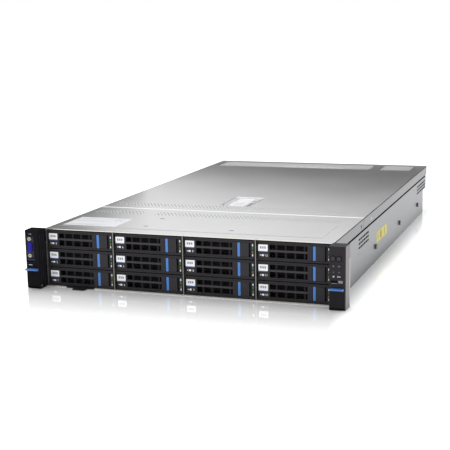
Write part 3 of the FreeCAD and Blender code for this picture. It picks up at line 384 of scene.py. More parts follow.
# Painted shade: dark lines along the folds, the flanges' lower edges and the seam.
front_lines = (side_lines(0, seam, fold_foot, cover_z) + side_lines(0, seam, flange_foot, flange_foot + 0.6)
               + side_lines(seam - 0.9, seam, flange_foot + 0.6, fold_foot))
rear_lines = (side_lines(seam + seam_gap, rear_end, fold_foot, cover_z)
              + side_lines(seam + seam_gap, rear_end, flange_foot, flange_foot + 0.6))
add_piece("fold_lines_front", front_lines, shade_line_and_screw_dark, "chassis")
add_piece("fold_lines_rear", rear_lines, shade_line_and_screw_dark, "rear_cover")
# Painted shade: a dark line at the tray's step.
add_piece("tray_fold_lines", side_lines(0, tray_high.y, step_z + 0.3, step_z + 1), shade_line_and_screw_dark, "chassis")
vent_groups = ((-201, 54), (138, 11))        # middle of the first long slot, and number of slots
vent_pitch = 6
vent_near, vent_far = 713, 770
lip_half, lip_height = 1.3, 0.25
lips = []
for first, count in vent_groups:
    for index in range(count - 1):
        x = first + (index + 0.5) * vent_pitch
        lips.append(bar((x - lip_half, vent_near, cover_z), (x + lip_half, vent_far, cover_z + lip_height),
                        0.15, "z"))
add_piece("vent_lips", lips, lip_highlight_white, "rear_cover")
rim_near, rim_far = 329.1, 333.4
rim = bar((pan_left, rim_near, cover_z), (pan_right + 1, rim_far, cover_z + 0.3), 0.2, "z")
add_piece("latch_rim", [rim], lip_highlight_white, "rear_cover")
# Painted shade: grey lines at the rim's sides.
rim_sides = [bar((x, 249, cover_z), (x + 0.8, rim_near, cover_z + 0.15))
             for x in (pan_left - 1.2, pan_right + 0.4)]
add_piece("latch_rim_sides", rim_sides, shade_and_rivet_grey, "rear_cover")
rim_screw = disc((pan_left + 3.4, 251.6, cover_z + 0.02), 1.8, 0.2, (0, 0, 1), 16, 0.1)
add_piece("latch_rim_screw", [rim_screw], shade_line_and_screw_dark, "rear_cover")


# Perforated bands across both covers: staggered rows of small round holes on either side of the seam, drawn
# as dark discs painted as the shade inside them, each with a punched rim painted bright as its highlight. One
# node tree makes a band, and the result is kept as a plain mesh.
def hole_band_tree():
    tree = bpy.data.node_groups.new("hole_band", "GeometryNodeTree")
    sockets = {}
    for label, kind in (("Columns", "NodeSocketInt"), ("Rows", "NodeSocketInt"),
                        ("Column Pitch", "NodeSocketFloat"), ("Row Pitch", "NodeSocketFloat"),
                        ("Hole Radius", "NodeSocketFloat"), ("Left", "NodeSocketFloat"),
                        ("Front", "NodeSocketFloat"), ("Height", "NodeSocketFloat"),
                        ("Material", "NodeSocketMaterial"), ("Rim Material", "NodeSocketMaterial")):
        sockets[label] = tree.interface.new_socket(name=label, in_out="INPUT", socket_type=kind).identifier
    tree.interface.new_socket(name="Geometry", in_out="OUTPUT", socket_type="NodeSocketGeometry")
    new = tree.nodes.new
    link = tree.links.new
    given = new("NodeGroupInput").outputs
    result = new("NodeGroupOutput")

    def plate(share, depth):
        """A thin round plate with the hole's radius times a share."""
        cylinder = new("GeometryNodeMeshCylinder")
        cylinder.inputs["Vertices"].default_value = 10
        cylinder.inputs["Depth"].default_value = depth * mm
        link(maths(tree, "MULTIPLY", given["Hole Radius"], share), cylinder.inputs["Radius"])
        return cylinder.outputs["Mesh"]

    points = new("GeometryNodePoints")
    link(maths(tree, "MULTIPLY", given["Columns"], given["Rows"]), points.inputs["Count"])
    index = new("GeometryNodeInputIndex").outputs[0]
    row = maths(tree, "FLOOR", maths(tree, "DIVIDE", index, given["Columns"]), 0)
    column = maths(tree, "SUBTRACT", index, maths(tree, "MULTIPLY", row, given["Columns"]))
    stagger = maths(tree, "MULTIPLY", maths(tree, "MODULO", row, 2), 0.5)
    across = maths(tree, "MULTIPLY", maths(tree, "ADD", column, stagger), given["Column Pitch"])
    along = maths(tree, "MULTIPLY", row, given["Row Pitch"])
    spot = new("ShaderNodeCombineXYZ")
    link(maths(tree, "ADD", across, given["Left"]), spot.inputs["X"])
    link(maths(tree, "ADD", along, given["Front"]), spot.inputs["Y"])
    link(given["Height"], spot.inputs["Z"])
    moved = new("GeometryNodeSetPosition")
    link(points.outputs[0], moved.inputs["Geometry"])
    link(spot.outputs[0], moved.inputs["Position"])
    hole = new("GeometryNodeSetMaterial")
    link(plate(1.0, 0.06), hole.inputs["Geometry"])
    link(given["Material"], hole.inputs["Material"])
    both = new("GeometryNodeJoinGeometry")
    link(plate(1.3, 0.03), both.inputs[0])
    link(hole.outputs[0], both.inputs[0])
    copies = new("GeometryNodeInstanceOnPoints")
    link(moved.outputs[0], copies.inputs["Points"])
    link(both.outputs[0], copies.inputs["Instance"])
    real = new("GeometryNodeRealizeInstances")
    link(copies.outputs[0], real.inputs[0])
    is_hole = new("GeometryNodeMaterialSelection")
    link(given["Material"], is_hole.inputs["Material"])
    is_rim = new("FunctionNodeBooleanMath")
    is_rim.operation = "NOT"
    link(is_hole.outputs[0], is_rim.inputs[0])
    rim = new("GeometryNodeSetMaterial")
    link(real.outputs[0], rim.inputs["Geometry"])
    link(is_rim.outputs[0], rim.inputs["Selection"])
    link(given["Rim Material"], rim.inputs["Material"])
    link(rim.outputs[0], result.inputs["Geometry"])
    return tree, sockets


hole_tree, hole_inputs = hole_band_tree()
# Painted shade: the holes are dark discs for the shade inside them.
hole_shade = plastic("hole_shade", paint(104, 105, 108), 0.7, 0.1)
column_step = 6.05
row_step = 5.24


def plain_mesh(name, data, set_up=None):
    """The evaluated mesh of a helper object, which is removed again. set_up prepares the object first."""
    maker = bpy.data.objects.new(name, data)
    bpy.context.scene.collection.objects.link(maker)
    if set_up is not None:
        set_up(maker)
    bpy.context.view_layer.update()
    mesh = bpy.data.meshes.new_from_object(maker.evaluated_get(bpy.context.evaluated_depsgraph_get()))
    bpy.data.objects.remove(maker)
    return mesh


def hole_band(name, left, right, near, far, body):
    """A band of holes between two sides and two edges, in millimetres."""
    corner = place(left, near, cover_z + 0.02)
    values = {"Columns": int((right - left) / column_step), "Rows": int((far - near) / row_step) + 1,
              "Left": corner.x, "Front": corner.y, "Height": corner.z, "Row Pitch": row_step * mm,
              "Column Pitch": column_step * mm, "Hole Radius": 1.4 * mm, "Material": hole_shade,
              "Rim Material": ridge_highlight_sheet}

    def add_holes(maker):
        modifier = maker.modifiers.new("holes", "NODES")
        modifier.node_group = hole_tree
        for label, value in values.items():
            modifier[hole_inputs[label]] = value

    mesh = plain_mesh(name + "_maker", bpy.data.meshes.new(name + "_maker"), add_holes)
    settle(name, mesh, body)


front_band = (seam - 48, seam - 24)
rear_band = (seam + 28, seam + 52)
hole_band("front_holes_left", -205, -125, *front_band, "chassis")
hole_band("front_holes_right", -102, 199, *front_band, "chassis")
hole_band("rear_holes", -206, 199, *rear_band, "rear_cover")


# Label on the raised field of the front cover: white film with plain grey rules and four small blocks, and
# beside it three short slots pressed into the sheet, drawn as thin bars painted dark as the shade inside
# them.
field_z = cover_z + 0.4
film_z = field_z + 0.08
ink_z = film_z + 0.02
label_left = -206
label_film = plastic("label_film", paint(208, 209, 212), 0.42, 0.02)
label_pale = plastic("label_pale", paint(168, 168, 172), 0.45, 0.03)
slot_shade_dark = plastic("slot_shade_dark", paint(52, 53, 56), 0.7, 0.1)
add_piece("top_label", [bar((label_left, 32.6, field_z), (-120.5, 97.4, film_z))], label_film, "chassis")
rules = [bar((label_left + 4, y, film_z), (label_left + 4 + length, y + 1.6, ink_z))
         for y, length in ((40, 52), (46, 60), (66, 60), (72, 46), (84, 60), (90, 28))]
rules += [bar((x, y, film_z), (x + 4, y + 5, ink_z)) for x in (-140, -133) for y in (74, 84)]
add_piece("top_label_rules", rules, label_pale, "chassis")
# Painted shade: dark bars for the shade inside the slots.
slots = [bar((x - 3.5, y, field_z), (x + 3.5, y + 3.0, field_z + 0.05))
         for x, y in ((-78, 48), (57, 46), (-77, 110))]
add_piece("cover_slots", slots, slot_shade_dark, "chassis")


# Latch of the rear cover: a grey moulded handle with a ribbed finger dip. It lies in the recess, turns on a
# pin at its front end, and pushes the cover to the rear as it lifts.
latch_grey = plastic("latch_grey", paint(222, 222, 224), 0.35, 0.05, coat=0.1)
dress("cover_latch", [latch_grey])
latch_low, latch_high = extent("cover_latch")
ribs = []
for index in range(6):
    y = latch_low.y + 9 + index * 3.4
    ribs.append(bar((latch_low.x + 6, y, latch_high.z - 1.1), (latch_high.x - 6, y + 1.1, latch_high.z - 0.4),
                    0.3, "z"))
add_piece("latch_ribs", ribs, latch_grey, "cover_latch")


# Drive carriers: a dark moulded bezel on plated rails that hold an aluminium drive, a lever with a grille and
# a release button with a blue stripe. Beside the button is a strip with a pale, a green, an amber and a pale
# lamp. The lever bears a white label with a blue band, and a pale number. The grille's middle rail is painted
# lighter as its highlight, and a dark sheet behind the grille is painted as the shade inside the bay.
bezel_black = plastic("bezel_black", paint(44, 42, 45), 0.5, shine=0.15)
drive_metal = metal("drive_metal", paint(168, 169, 172), 0.4)
drive_rail = metal("rail_steel", paint(180, 181, 184), 0.4)
lamp_strip = plastic("lamp_strip", paint(34, 34, 37), 0.3, 0.05, coat=0.1)
lever_black = plastic("lever_black", paint(46, 44, 47), 0.5, shine=0.15)
rib_dark = plastic("rib_dark", paint(31, 29, 32), 0.55, 0.1, shine=0.1)
# Painted highlight: the grille's middle rail is lighter than the lever.
grille_rail_highlight = plastic("grille_rail_highlight", paint(62, 59, 62), 0.5, 0.08, shine=0.15)
# Painted shade: dark for the shade behind the grilles and inside the video port's holes; also two strips that
# narrow the insert.
shade_and_shell_black = plastic("shade_and_shell_black", paint(20, 19, 21), 0.8, 0.05)
button_grey = plastic("button_grey", paint(48, 46, 50), 0.42, 0.08, shine=0.15)
stripe_blue = plastic("stripe_blue", paint(70, 124, 194), 0.35, 0.05, coat=0.1)
label_white = plastic("label_white", paint(236, 237, 239), 0.42, 0.02)
band_blue = plastic("band_blue", paint(66, 92, 150), 0.4, 0.04)
mark_grey = plastic("mark_grey", paint(140, 140, 143), 0.5, 0.04)
mark_white = plastic("mark_white", paint(232, 232, 234), 0.4, 0.03)
mark_green = plastic("mark_green", paint(54, 128, 82), 0.3, 0.03)
mark_amber = plastic("mark_amber", paint(150, 132, 60), 0.3, 0.03)
forwards = (0, -1, 0)
bezel_depth = 20
rail_width = 1.7
strip_width, strip_depth = 3.8, 6.0
stripe_width = 4
lamps = (("white", mark_white, 6.6, 1.4), ("green", mark_green, 11.1, 1.35), ("amber", mark_amber, 16.6, 1.2),
         ("lamp", mark_white, 20.8, 1.3))     # name, material, depth below the bezel's top, half a width
lamp_height = 1.2                             # as a share of its width
label_edges = (2.2, 15.8)                     # from the lever's left side
label_drop, band_drop, band_end = 4.7, 13.8, 15.1
grille_left, grille_right = 18.2, 72.3
grille_rows = ((1.65, 9.94), (12.94, 20.15))  # heights of the two rows of cells above the lever's foot
first_rib, rib_pitch, rib_width = 26.79, 13.417, 2.4
skin = 0.03                                   # thickness of printed marks and shaded faces
number_drop = 21.2


def carrier_faces(middles, normals):
    x, y, z = middles.T
    behind = y > bezel_depth + 0.01
    lamp = (x > x.max() - strip_width - 0.05) & (y > 0.1) & (y < strip_depth + 0.05)
    rail = behind & ((x < x.min() + rail_width) | (x > x.max() - rail_width))
    return np.where(rail, 1, np.where(behind, 2, np.where(lamp, 3, 0)))


def button_faces(middles, normals):
    x, y, z = middles.T
    return (x < x.min() + stripe_width + 0.01) & (y < 0.31)


number_curve = bpy.data.curves.new("bay_number", "FONT")
number_curve.size = 4.4 * mm
number_curve.extrude = skin * mm
number_curve.align_x = "CENTER"
bays = [name[len("carrier_"):] for name in sorted(nodes) if name.startswith("carrier_")]
for order, bay in enumerate(bays):
    carrier, lever = "carrier_" + bay, "lever_" + bay
    dress(carrier, [bezel_black, drive_rail, drive_metal, lamp_strip], carrier_faces)
    dress(lever, [lever_black])
    dress("button_" + bay, [button_grey, stripe_blue], button_faces)
    carrier_high = extent(carrier)[1]
    top = carrier_high.z
    lamp_x = carrier_high.x - 2.2
    left, _, foot = extent(lever)[0]
    for label, material, drop, reach in lamps:
        window = bar((lamp_x - reach, 0.12, top - drop - reach * lamp_height),
                     (lamp_x + reach, 0.3, top - drop + reach * lamp_height), 0.1)
        add_piece("lamp_%s_%s" % (label, bay), [window], material, carrier)
    paper_left, paper_right = (left + edge for edge in label_edges)
    paper = bar((paper_left, -0.1, top - band_drop), (paper_right, 0, top - label_drop))
    band = bar((paper_left, -0.1, top - band_end), (paper_right, 0, top - band_drop))
    blocks = [bar((paper_left + step, -0.14, top - 10.4), (paper_left + step + 2.3, -0.1, top - 7.2))
              for step in (2.4, 5.5, 8.6)]
    add_piece("bay_label_" + bay, [paper], label_white, lever)
    add_piece("bay_label_band_" + bay, [band], band_blue, lever)
    add_piece("bay_label_marks_" + bay, blocks, mark_grey, lever)
    ribs = [bar((left + first_rib + index * rib_pitch, -skin, foot + low),
                (left + first_rib + index * rib_pitch + rib_width, 0, foot + high))
            for index in range(4) for low, high in grille_rows]
    add_piece("grille_ribs_" + bay, ribs, rib_dark, lever)
    # Painted highlight on the grille's middle rail.
    rail = bar((left + grille_left, -skin, foot + 10.1), (left + grille_right, 0, foot + 12.7))
    add_piece("grille_rail_" + bay, [rail], grille_rail_highlight, lever)
    signs = [disc((left + 5.2, 0, top - 19.6), 1.2, 2 * skin, forwards, 3),
             bar((left + 6.9, -2 * skin, top - 20.9), (left + 10.1, 0, top - 18.4))]
    add_piece("bay_signs_" + bay, signs, mark_white, lever)
    number_curve.body = str(order + 1)
    number = plain_mesh("writer", number_curve)
    upright = Matrix.Rotation(math.pi / 2, 4, "X")
    number.transform(Matrix.Translation(place(left + 13.4, -skin, top - number_drop)) @ upright)
    number.materials.clear()
    number.materials.append(mark_white)
    settle("bay_number_" + bay, number, lever)
    # Painted shade: a dark sheet behind the grille for the shade inside the bay.
    grille_shade_sheet = bar((left + grille_left - 0.2, 16.0, top - 24.0), (left + 74, 16.4, top - 3.6))
    add_piece("bay_grille_shade_" + bay, [grille_shade_sheet], shade_and_shell_black, carrier)


# Rack ears: a moulded hood with a fine grain over a plated bracket that is riveted to the tray's side. The
# left hood is black with low upright ribs on its inner side, the ribs painted a little lighter as highlights
# and the bracket's inner faces painted dark as shade. The right hood is greyer, its outer side painted
# lighter as a sheen.
hood_left = plastic("hood_left", paint(28, 27, 30), 0.6, 0.1, shine=0.0)
hood_right = plastic("hood_right", paint(40, 38, 41), 0.5, 0.1, shine=0.12)
# Painted sheen: the right hood's outer side is a lighter copy of the hood.
hood_side_sheen = plastic("hood_side_sheen", paint(118, 114, 114), 0.5, 0.05)
bracket_steel = metal("bracket_steel", paint(204, 203, 200), 0.35)
# Painted shade: the left bracket's inner faces are painted dark.
bracket_shade = plastic("bracket_shade", paint(44, 43, 44), 0.5, 0.1, shine=0.1)
rib_highlight_black = plastic("rib_highlight_black", paint(46, 44, 47), 0.5, 0.1, shine=0.15)
bracket_foot, bracket_head, bracket_front = 2.9, 68.1, -2.4
hood_inner = extent("ear_left")[1].x
hood_side_x = 239                            # the right hood's outer side begins here


def ear_faces(middles, normals):
    x, y, z = middles.T
    steel = (np.abs(x) > side_x - 0.01) & (y > bracket_front + 0.01) & (z > bracket_foot) & (z < bracket_head)
    return steel.astype(int)


def left_ear_faces(middles, normals):
    steel = ear_faces(middles, normals)
    return np.where((steel == 1) & (middles[:, 0] > -side_x - 0.01), 2, steel)


def right_ear_faces(middles, normals):
    steel = ear_faces(middles, normals)
    return np.where((normals[:, 0] > 0.9) & (middles[:, 0] > hood_side_x) & (steel == 0), 2, steel)


dress("ear_left", [hood_left, bracket_steel, bracket_shade], left_ear_faces)
dress("ear_right", [hood_right, bracket_steel, hood_side_sheen], right_ear_faces)
# Painted highlight: real ribs painted a little lighter than the hood.
ribs = [bar((hood_inner, y, 10), (hood_inner + 0.2, y + 0.9, 80)) for y in (-19.5, -14, -8.5)]
add_piece("left_ear_ribs", ribs, rib_highlight_black, "chassis")


# Marks printed on the ears, small and pale, beside the ports and the buttons. With them are a grey window and
# a lower edge at the service slot painted bright as a highlight, and a small brass screw low on the left
# hood's inner side.
icon_white = plastic("icon_white", paint(190, 190, 194), 0.45, 0.03)
icon_grey = plastic("icon_grey", paint(136, 136, 138), 0.45, 0.03)
icon_dim = plastic("icon_dim", paint(98, 100, 88), 0.45, 0.03)
icon_dark = plastic("icon_dark", paint(78, 74, 76), 0.45, 0.03)
brass = metal("brass", paint(176, 150, 96), 0.35)
slot_edge_highlight = plastic("slot_edge_highlight", paint(150, 145, 128), 0.4, 0.03)
window_grey = plastic("window_grey", paint(128, 126, 128), 0.4, 0.03)
ear_face = -24.0
head_face = ear_face - 0.62                   # raised field over the left ear's ports
ink = 0.06
marks = (("left_ear_head_marks", icon_grey, head_face, (-229.6, 82.4, 1.0, 18),
          [(-233.1, 82.0, -231.3, 82.8)]),
         ("left_ear_marks", icon_white, ear_face, (-234.6, 36.0, 0.7, 14), [(-233.8, 35.6, -229.6, 36.5)]),
         ("right_ear_marks", icon_white, ear_face, (224.4, 46.8, 1.2, 18),
          [(231.2, 46.2, 233.8, 47.4), (229.8, 45.6, 230.6, 48.0)]),
         ("right_ear_dim_marks", icon_dim, ear_face, (224.2, 60.9, 1.2, 16), [(230.6, 60.0, 233.2, 61.8)]),
         ("right_ear_dark_marks", icon_dark, ear_face, (224.2, 52.8, 1.2, 16), [(230.6, 52.0, 233.2, 53.6)]))
for name, material, plane, (dot_x, dot_z, radius, sides), blocks in marks:
    shapes = [disc((dot_x, plane, dot_z), radius, ink, forwards, sides)]
    shapes += [bar((x, plane - ink, z), (far_x, plane, top_z)) for x, z, far_x, top_z in blocks]
    add_piece(name, shapes, material, "chassis")
# Painted highlight along the service slot's lower edge.
edge = bar((221.4, ear_face - 0.1, 37.4), (229.2, ear_face, 37.9))
window = bar((230.9, ear_face - 0.1, 38.0), (236.8, ear_face, 41.5), 0.3)
tag_screw = disc((hood_inner + 0.04, -20, 5), 1.5, 0.3, (1, 0, 0), 14, 0.1)
add_piece("service_edge", [edge], slot_edge_highlight, "chassis")
add_piece("ear_window", [window], window_grey, "chassis")
add_piece("tag_screw", [tag_screw], brass, "chassis")


# Flip-down levers on the ears: black moulded plates that turn on a pin near their foot, with a blue grip bar
# along the top, its underside and a band below it painted navy as shade.
plate_black = plastic("plate_black", paint(26, 25, 28), 0.6, 0.1, shine=0.0)
plate_grey = plastic("plate_grey", paint(30, 28, 31), 0.5, 0.1, shine=0.08)
grip_blue = plastic("grip_blue", paint(70, 118, 186), 0.3, 0.06, coat=0.2)
# Painted shade: navy on the grip's underside and on a band below it.
navy_shade = plastic("navy_shade", paint(24, 34, 62), 0.4, 0.06)
grip_foot = 28.7
band_inner, band_outer, band_foot, band_head = 220.2, 238.4, 26.2, 28.4


def ear_lever_faces(middles, normals):
    x, y, z = middles.T
    grip = (z > grip_foot - 0.01) & ((z > grip_foot + 1.01) | (y < ear_face - 0.01))
    return np.where(grip, np.where(normals[:, 2] < -0.3, 2, 1), 0)


for side, sign, plate in (("left", -1, plate_black), ("right", 1, plate_grey)):
    dress("ear_lever_" + side, [plate, grip_blue, navy_shade], ear_lever_faces)
    band = bar((sign * band_inner, ear_face - 0.12, band_foot), (sign * band_outer, ear_face, band_head),
               0.05)
    add_piece("grip_shade_" + side, [band], navy_shade, "ear_lever_" + side)


# Push buttons of the right ear: two round black caps on springs, each in a dark moulded ring that is set
# into the hood's face.
knob_black = plastic("knob_black", paint(40, 39, 43), 0.35, 0.05, shine=0.3)
ring_black = plastic("ring_black", paint(12, 12, 13), 0.4, 0.05, shine=0.1)
ring_sides = 28
ring_profile = ((0.0, 3.5), (-0.12, 3.6), (-0.12, 4.3), (0.0, 4.4))     # depth and radius
for name in ("power_button", "locate_button"):
    dress(name, [knob_black])
    low, high = extent(name)
    middle = (low + high) / 2
    points = []
    faces = []
    for ring, (depth, reach) in enumerate(ring_profile):
        after = (ring + 1) % len(ring_profile)
        for index in range(ring_sides):
            angle = 2 * math.pi * index / ring_sides
            points.append(place(middle.x + reach * math.cos(angle), ear_face + depth,
                                middle.z + reach * math.sin(angle)))
            follow = (index + 1) % ring_sides
            faces.append((ring * ring_sides + index, ring * ring_sides + follow, after * ring_sides + follow,
                          after * ring_sides + index))
    add_piece(name + "_ring", [(points, faces)], ring_black, "chassis")


# Ports of the left ear: a plated flange, a blue insert with fifteen small holes, two cream hexagon posts
# screwed in above and below it, and a USB socket with a deep blue tongue. The holes and the posts' screw
# holes are dark discs painted as the shade inside them, and two dark strips narrow the insert.
port_shell = metal("port_shell", paint(24, 22, 30), 0.5, metallic=0.2)
insert_blue = plastic("insert_blue", paint(26, 26, 150), 0.45, 0.05, shine=0.15)
post_cream = metal("post_cream", paint(176, 170, 154), 0.35, metallic=0.5)
tongue_blue = plastic("tongue_blue", paint(18, 34, 104), 0.4, 0.05)
port_x = -232
socket_z = 62.6
post_reach = 12.5
pin_pitch = 2.2
flange_front = -23.2
insert_front = -25.0
tongue_foot, tongue_head = 42.4, 44.2
usb_head = 46


def port_faces(middles, normals):
    x, y, z = middles.T
    forward = y < flange_front - 0.01
    insert = (np.abs(z - socket_z) < 7.9) & (np.abs(x - port_x) < 3.75) & (forward | (y > flange_front + 1.1))
    post = forward & (np.abs(z - socket_z) > 9.3) & (z > usb_head)
    tongue = (z > tongue_foot - 0.01) & (z < tongue_head + 0.01) & (np.abs(x - port_x) < 5.6)
    tongue &= y > flange_front + 0.1
    return np.where(insert, 1, np.where(post, 2, np.where(tongue, 3, 0)))


dress("front_ports", [port_shell, insert_blue, post_cream, tongue_blue], port_faces)
holes = []
# Painted shade: dark discs for the shade inside the pin holes.
for column, lift in ((-1.9, 0), (0.0, pin_pitch / 2), (1.9, 0)):
    for index in range(5):
        z = socket_z + (index - 2) * pin_pitch + lift
        holes.append(disc((port_x + column, insert_front, z), 0.45, 0.03, forwards, 8))
holes += [disc((port_x, insert_front - 0.53, socket_z + reach), 1.1, 0.04, forwards, 12)
          for reach in (-post_reach, post_reach)]
holes += [bar((port_x + x, insert_front - 0.03, socket_z - 7), (port_x + x + 1.0, insert_front, socket_z + 7))
          for x in (-3.65, 2.65)]
add_piece("video_pin_holes", holes, shade_and_shell_black, "chassis")


# Pull-out tag: a smooth black moulded plate under the first column of carriers. It slides in a shallow slot
# of the tray's floor, and its wider end stays outside as a grip.
dress("pull_tag", [plastic("tag_black", paint(30, 30, 33), 0.4, 0.06)])


# Boards and fans inside: a green backplane with black plugs, a green main board on posts with finned heat
# sinks and memory modules, and a wall of dark fan housings with moulded rotors.
board_green = plastic("board_green", paint(30, 92, 62), 0.45, 0.15, coat=0.3)
plug_black = plastic("plug_black", paint(28, 28, 30), 0.5)
sink_metal = metal("sink_metal", paint(190, 192, 196), 0.35)
memory_green = plastic("memory_green", paint(24, 74, 52), 0.4, 0.1, coat=0.3)
fan_black = plastic("fan_black", paint(34, 34, 37), 0.5)
rotor_black = plastic("rotor_black", paint(26, 26, 29), 0.4)
board_foot, board_top = 9.0, 10.6
sink_x, sink_reach = 105.12, 39.01
backplane_front = 171.0
fan_grille_back = 193.2


def board_faces(middles, normals):
    x, y, z = middles.T
    sink = (z > board_top - 0.01) & (np.abs(np.abs(x) - sink_x) < sink_reach)
    post = z < board_foot - 0.01
    return np.where(sink | post, 1, np.where(z > board_top + 0.01, 2, 0))


dress("main_board", [board_green, sink_metal, memory_green], board_faces)
dress("backplane", [board_green, plug_black],
      lambda middles, normals: middles[:, 1] < backplane_front - 0.01)
dress("fan_wall", [fan_black, inner_steel],
      lambda middles, normals: middles[:, 1] < fan_grille_back + 0.01)
for index in range(4):
    dress("fan_rotor_%d" % (index + 1), [rotor_black])


# Rear side: a plated panel with card covers and sockets, riveted between the tray's sides, and two power
# supplies that slide in beside it, each with a black bow handle, a mains inlet and a green lamp.
socket_metal = metal("socket_metal", paint(196, 196, 198), 0.3)
supply_case = metal("supply_case", paint(178, 180, 182), 0.38)
handle_black = plastic("handle_black", paint(30, 30, 33), 0.45)
inlet_black = plastic("inlet_black", paint(22, 22, 24), 0.5)
socket_foot, socket_head, socket_front = 10, 30, 748.8
card_foot = 45.0
supply_end = 751.0
inlet_left, inlet_right, inlet_foot, inlet_head = 5.9, 30.5, 12.0, 29.7
supply_lamp = 34                              # the lamp's place from the supply's left side and from below


def rear_faces(middles, normals):
    x, y, z = middles.T
    socket = (y < socket_front - 0.01) & (z > socket_foot) & (z < socket_head)
    card_cover = (y < tray_high.y - 0.01) & (z > card_foot)
    return socket | card_cover


def supply_faces(middles, normals):
    x, y, z = middles.T
    inlet = (y > 736.9) & (y < supply_end - 0.01) & (x > x.min() + inlet_left) & (x < x.min() + inlet_right)
    inlet &= (z > inlet_foot) & (z < inlet_head)
    return np.where(y > supply_end + 0.01, 1, np.where(inlet, 2, 0))


dress("rear_panel", [inner_steel, socket_metal], rear_faces)
for name in ("power_supply_1", "power_supply_2"):
    dress(name, [supply_case, handle_black, inlet_black], supply_faces)
    lamp = disc((extent(name)[0].x + supply_lamp, supply_end, supply_lamp), 1.3, 0.2, (0, 1, 0), 16, 0.1)
    add_piece(name + "_lamp", [lamp], mark_green, name)


# Studio: a pale floor that is glossy close to the chassis and fades to dull white further out, where it also
# glows a little more to paint out the chassis's shadow, a broad soft light from above, and two dark cards
# behind and to the left that only show as mirrored in the sheet.
def stage_plane(name, points, material):
    """A flat four-sided surface of the studio, its points in metres."""
    mesh = bpy.data.meshes.new(name)
    mesh.from_pydata(points, [], [(0, 1, 2, 3)])
    mesh.materials.append(material)
    plane = bpy.data.objects.new(name, mesh)
    bpy.context.scene.collection.objects.link(plane)
    return plane


floor_white = finished("floor_white", moulded_grain, [0.97, 0.97, 0.97, 1.0], 0.04, 0.0, bump=0.0)
tree = floor_white.node_tree
floor_shader = tree.nodes["Principled BSDF"]
floor_shader.inputs["Emission Color"].default_value = (1.0, 1.0, 1.0, 1.0)
floor_place = tree.nodes.new("ShaderNodeSeparateXYZ")
tree.links.new(tree.nodes.new("ShaderNodeTexCoord").outputs["Object"], floor_place.inputs["Vector"])


def past_edge(axis, edge):
    """How far a point of the floor lies outside the chassis along one axis, in metres."""
    distance = maths(tree, "ABSOLUTE", floor_place.outputs[axis], 0.0)
    return maths(tree, "MAXIMUM", maths(tree, "SUBTRACT", distance, edge), 0.0)


side_hurry = 6.0                              # the gloss fades faster beside the chassis than before it
fade_reach = 0.22
beside = maths(tree, "MULTIPLY", past_edge("X", side_x * mm), side_hurry)
away = maths(tree, "MAXIMUM", beside, past_edge("Y", -face_y))
# Painted light: the floor glows, more further out and beside the chassis, to lift out the chassis's shadow.
for label, near, far in (("Specular IOR Level", 1.0, 0.0), ("Metallic", 0.3, 0.0),
                         ("Emission Strength", 0.04, 0.25)):
    fade = tree.nodes.new("ShaderNodeMapRange")
    fade.interpolation_type = "SMOOTHSTEP"
    for socket, value in (("From Min", 0.0), ("From Max", fade_reach), ("To Min", near), ("To Max", far)):
        fade.inputs[socket].default_value = value
    tree.links.new(away, fade.inputs["Value"])
    tree.links.new(fade.outputs["Result"], floor_shader.inputs[label])
floor_reach = 40.0
floor_z = -0.0002
corners = [(x * floor_reach, y * floor_reach, floor_z) for x, y in ((-1, -1), (1, -1), (1, 1), (-1, 1))]
stage_plane("floor", corners, floor_white)
card_black = plastic("card_black", [0.02, 0.02, 0.02, 1.0], 0.9, 0.0, shine=0.0)
tree = card_black.node_tree
behind = tree.nodes.new("ShaderNodeNewGeometry").outputs["Backfacing"]
tree.links.new(maths(tree, "SUBTRACT", 1.0, behind), tree.nodes["Principled BSDF"].inputs["Alpha"])
rear_card = [(-1.0, 0.5, 0.1), (0.5, 0.5, 0.1), (0.5, 0.5, 0.315), (-0.8, 0.5, 0.105)]
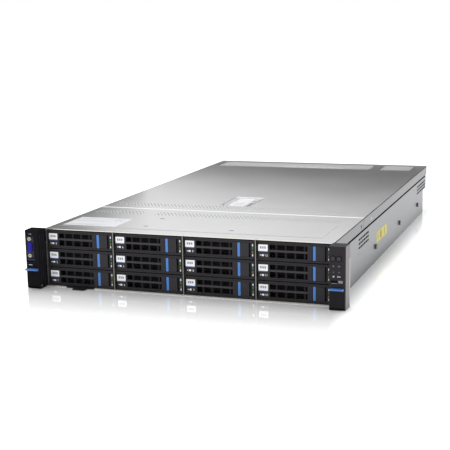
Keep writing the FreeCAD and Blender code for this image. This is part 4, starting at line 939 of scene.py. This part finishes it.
left_card = [(-0.36, -0.4, 0.1), (-0.36, 0.3, 0.1), (-0.36, 0.3, 0.17), (-0.36, -0.4, 0.31)]
for name, points in (("card_rear", rear_card), ("card_left", left_card)):
    card = stage_plane(name, points, card_black)
    card.visible_camera = False
    card.visible_diffuse = False
    card.visible_shadow = False
world = bpy.data.worlds.new("studio")
world.use_nodes = True
background = world.node_tree.nodes["Background"]
background.inputs["Color"].default_value = (1.0, 1.0, 1.0, 1.0)
background.inputs["Strength"].default_value = 1.0
bpy.context.scene.world = world
key_data = bpy.data.lights.new("key", "AREA")
key_data.shape = "RECTANGLE"
key_data.size = 2.0
key_data.size_y = 1.4
key_data.energy = 30
key = bpy.data.objects.new("key", key_data)
key.location = (-0.4, 0.3, 2.6)
key.rotation_euler = (-key.location).to_track_quat("-Z", "Y").to_euler()
key.visible_glossy = False
bpy.context.scene.collection.objects.link(key)


# Camera: the photograph's viewpoint, to the right of the front and a little above the covers, with the
# turn, the focal length and the middle of the picture that fit the photograph's own edges.
eye = place(549.6, -1359.85, 380.39)
yaw, pitch, roll = (math.radians(angle) for angle in (-19.804, 12.073, 1.13))
focal_pixels = 1058.6
middle_pixels = (222.6, 248.5)
picture = 450
ahead = Vector((math.sin(yaw) * math.cos(pitch), math.cos(yaw) * math.cos(pitch), -math.sin(pitch)))
level = Vector((math.cos(yaw), -math.sin(yaw), 0))
down = ahead.cross(level)
right_axis = math.cos(roll) * level + math.sin(roll) * down
down_axis = -math.sin(roll) * level + math.cos(roll) * down
camera_data = bpy.data.cameras.new("camera")
camera_data.sensor_width = 36
camera_data.lens = focal_pixels / picture * camera_data.sensor_width
camera_data.shift_x = (picture / 2 - middle_pixels[0]) / picture
camera_data.shift_y = (middle_pixels[1] - picture / 2) / picture
camera_data.clip_end = 200
camera = bpy.data.objects.new("camera", camera_data)
turn = Matrix((right_axis, -down_axis, -ahead)).transposed()
camera.matrix_world = Matrix.Translation(eye) @ turn.to_4x4()
bpy.context.scene.collection.objects.link(camera)
bpy.context.scene.camera = camera
bpy.context.scene.view_settings.view_transform = "Standard"
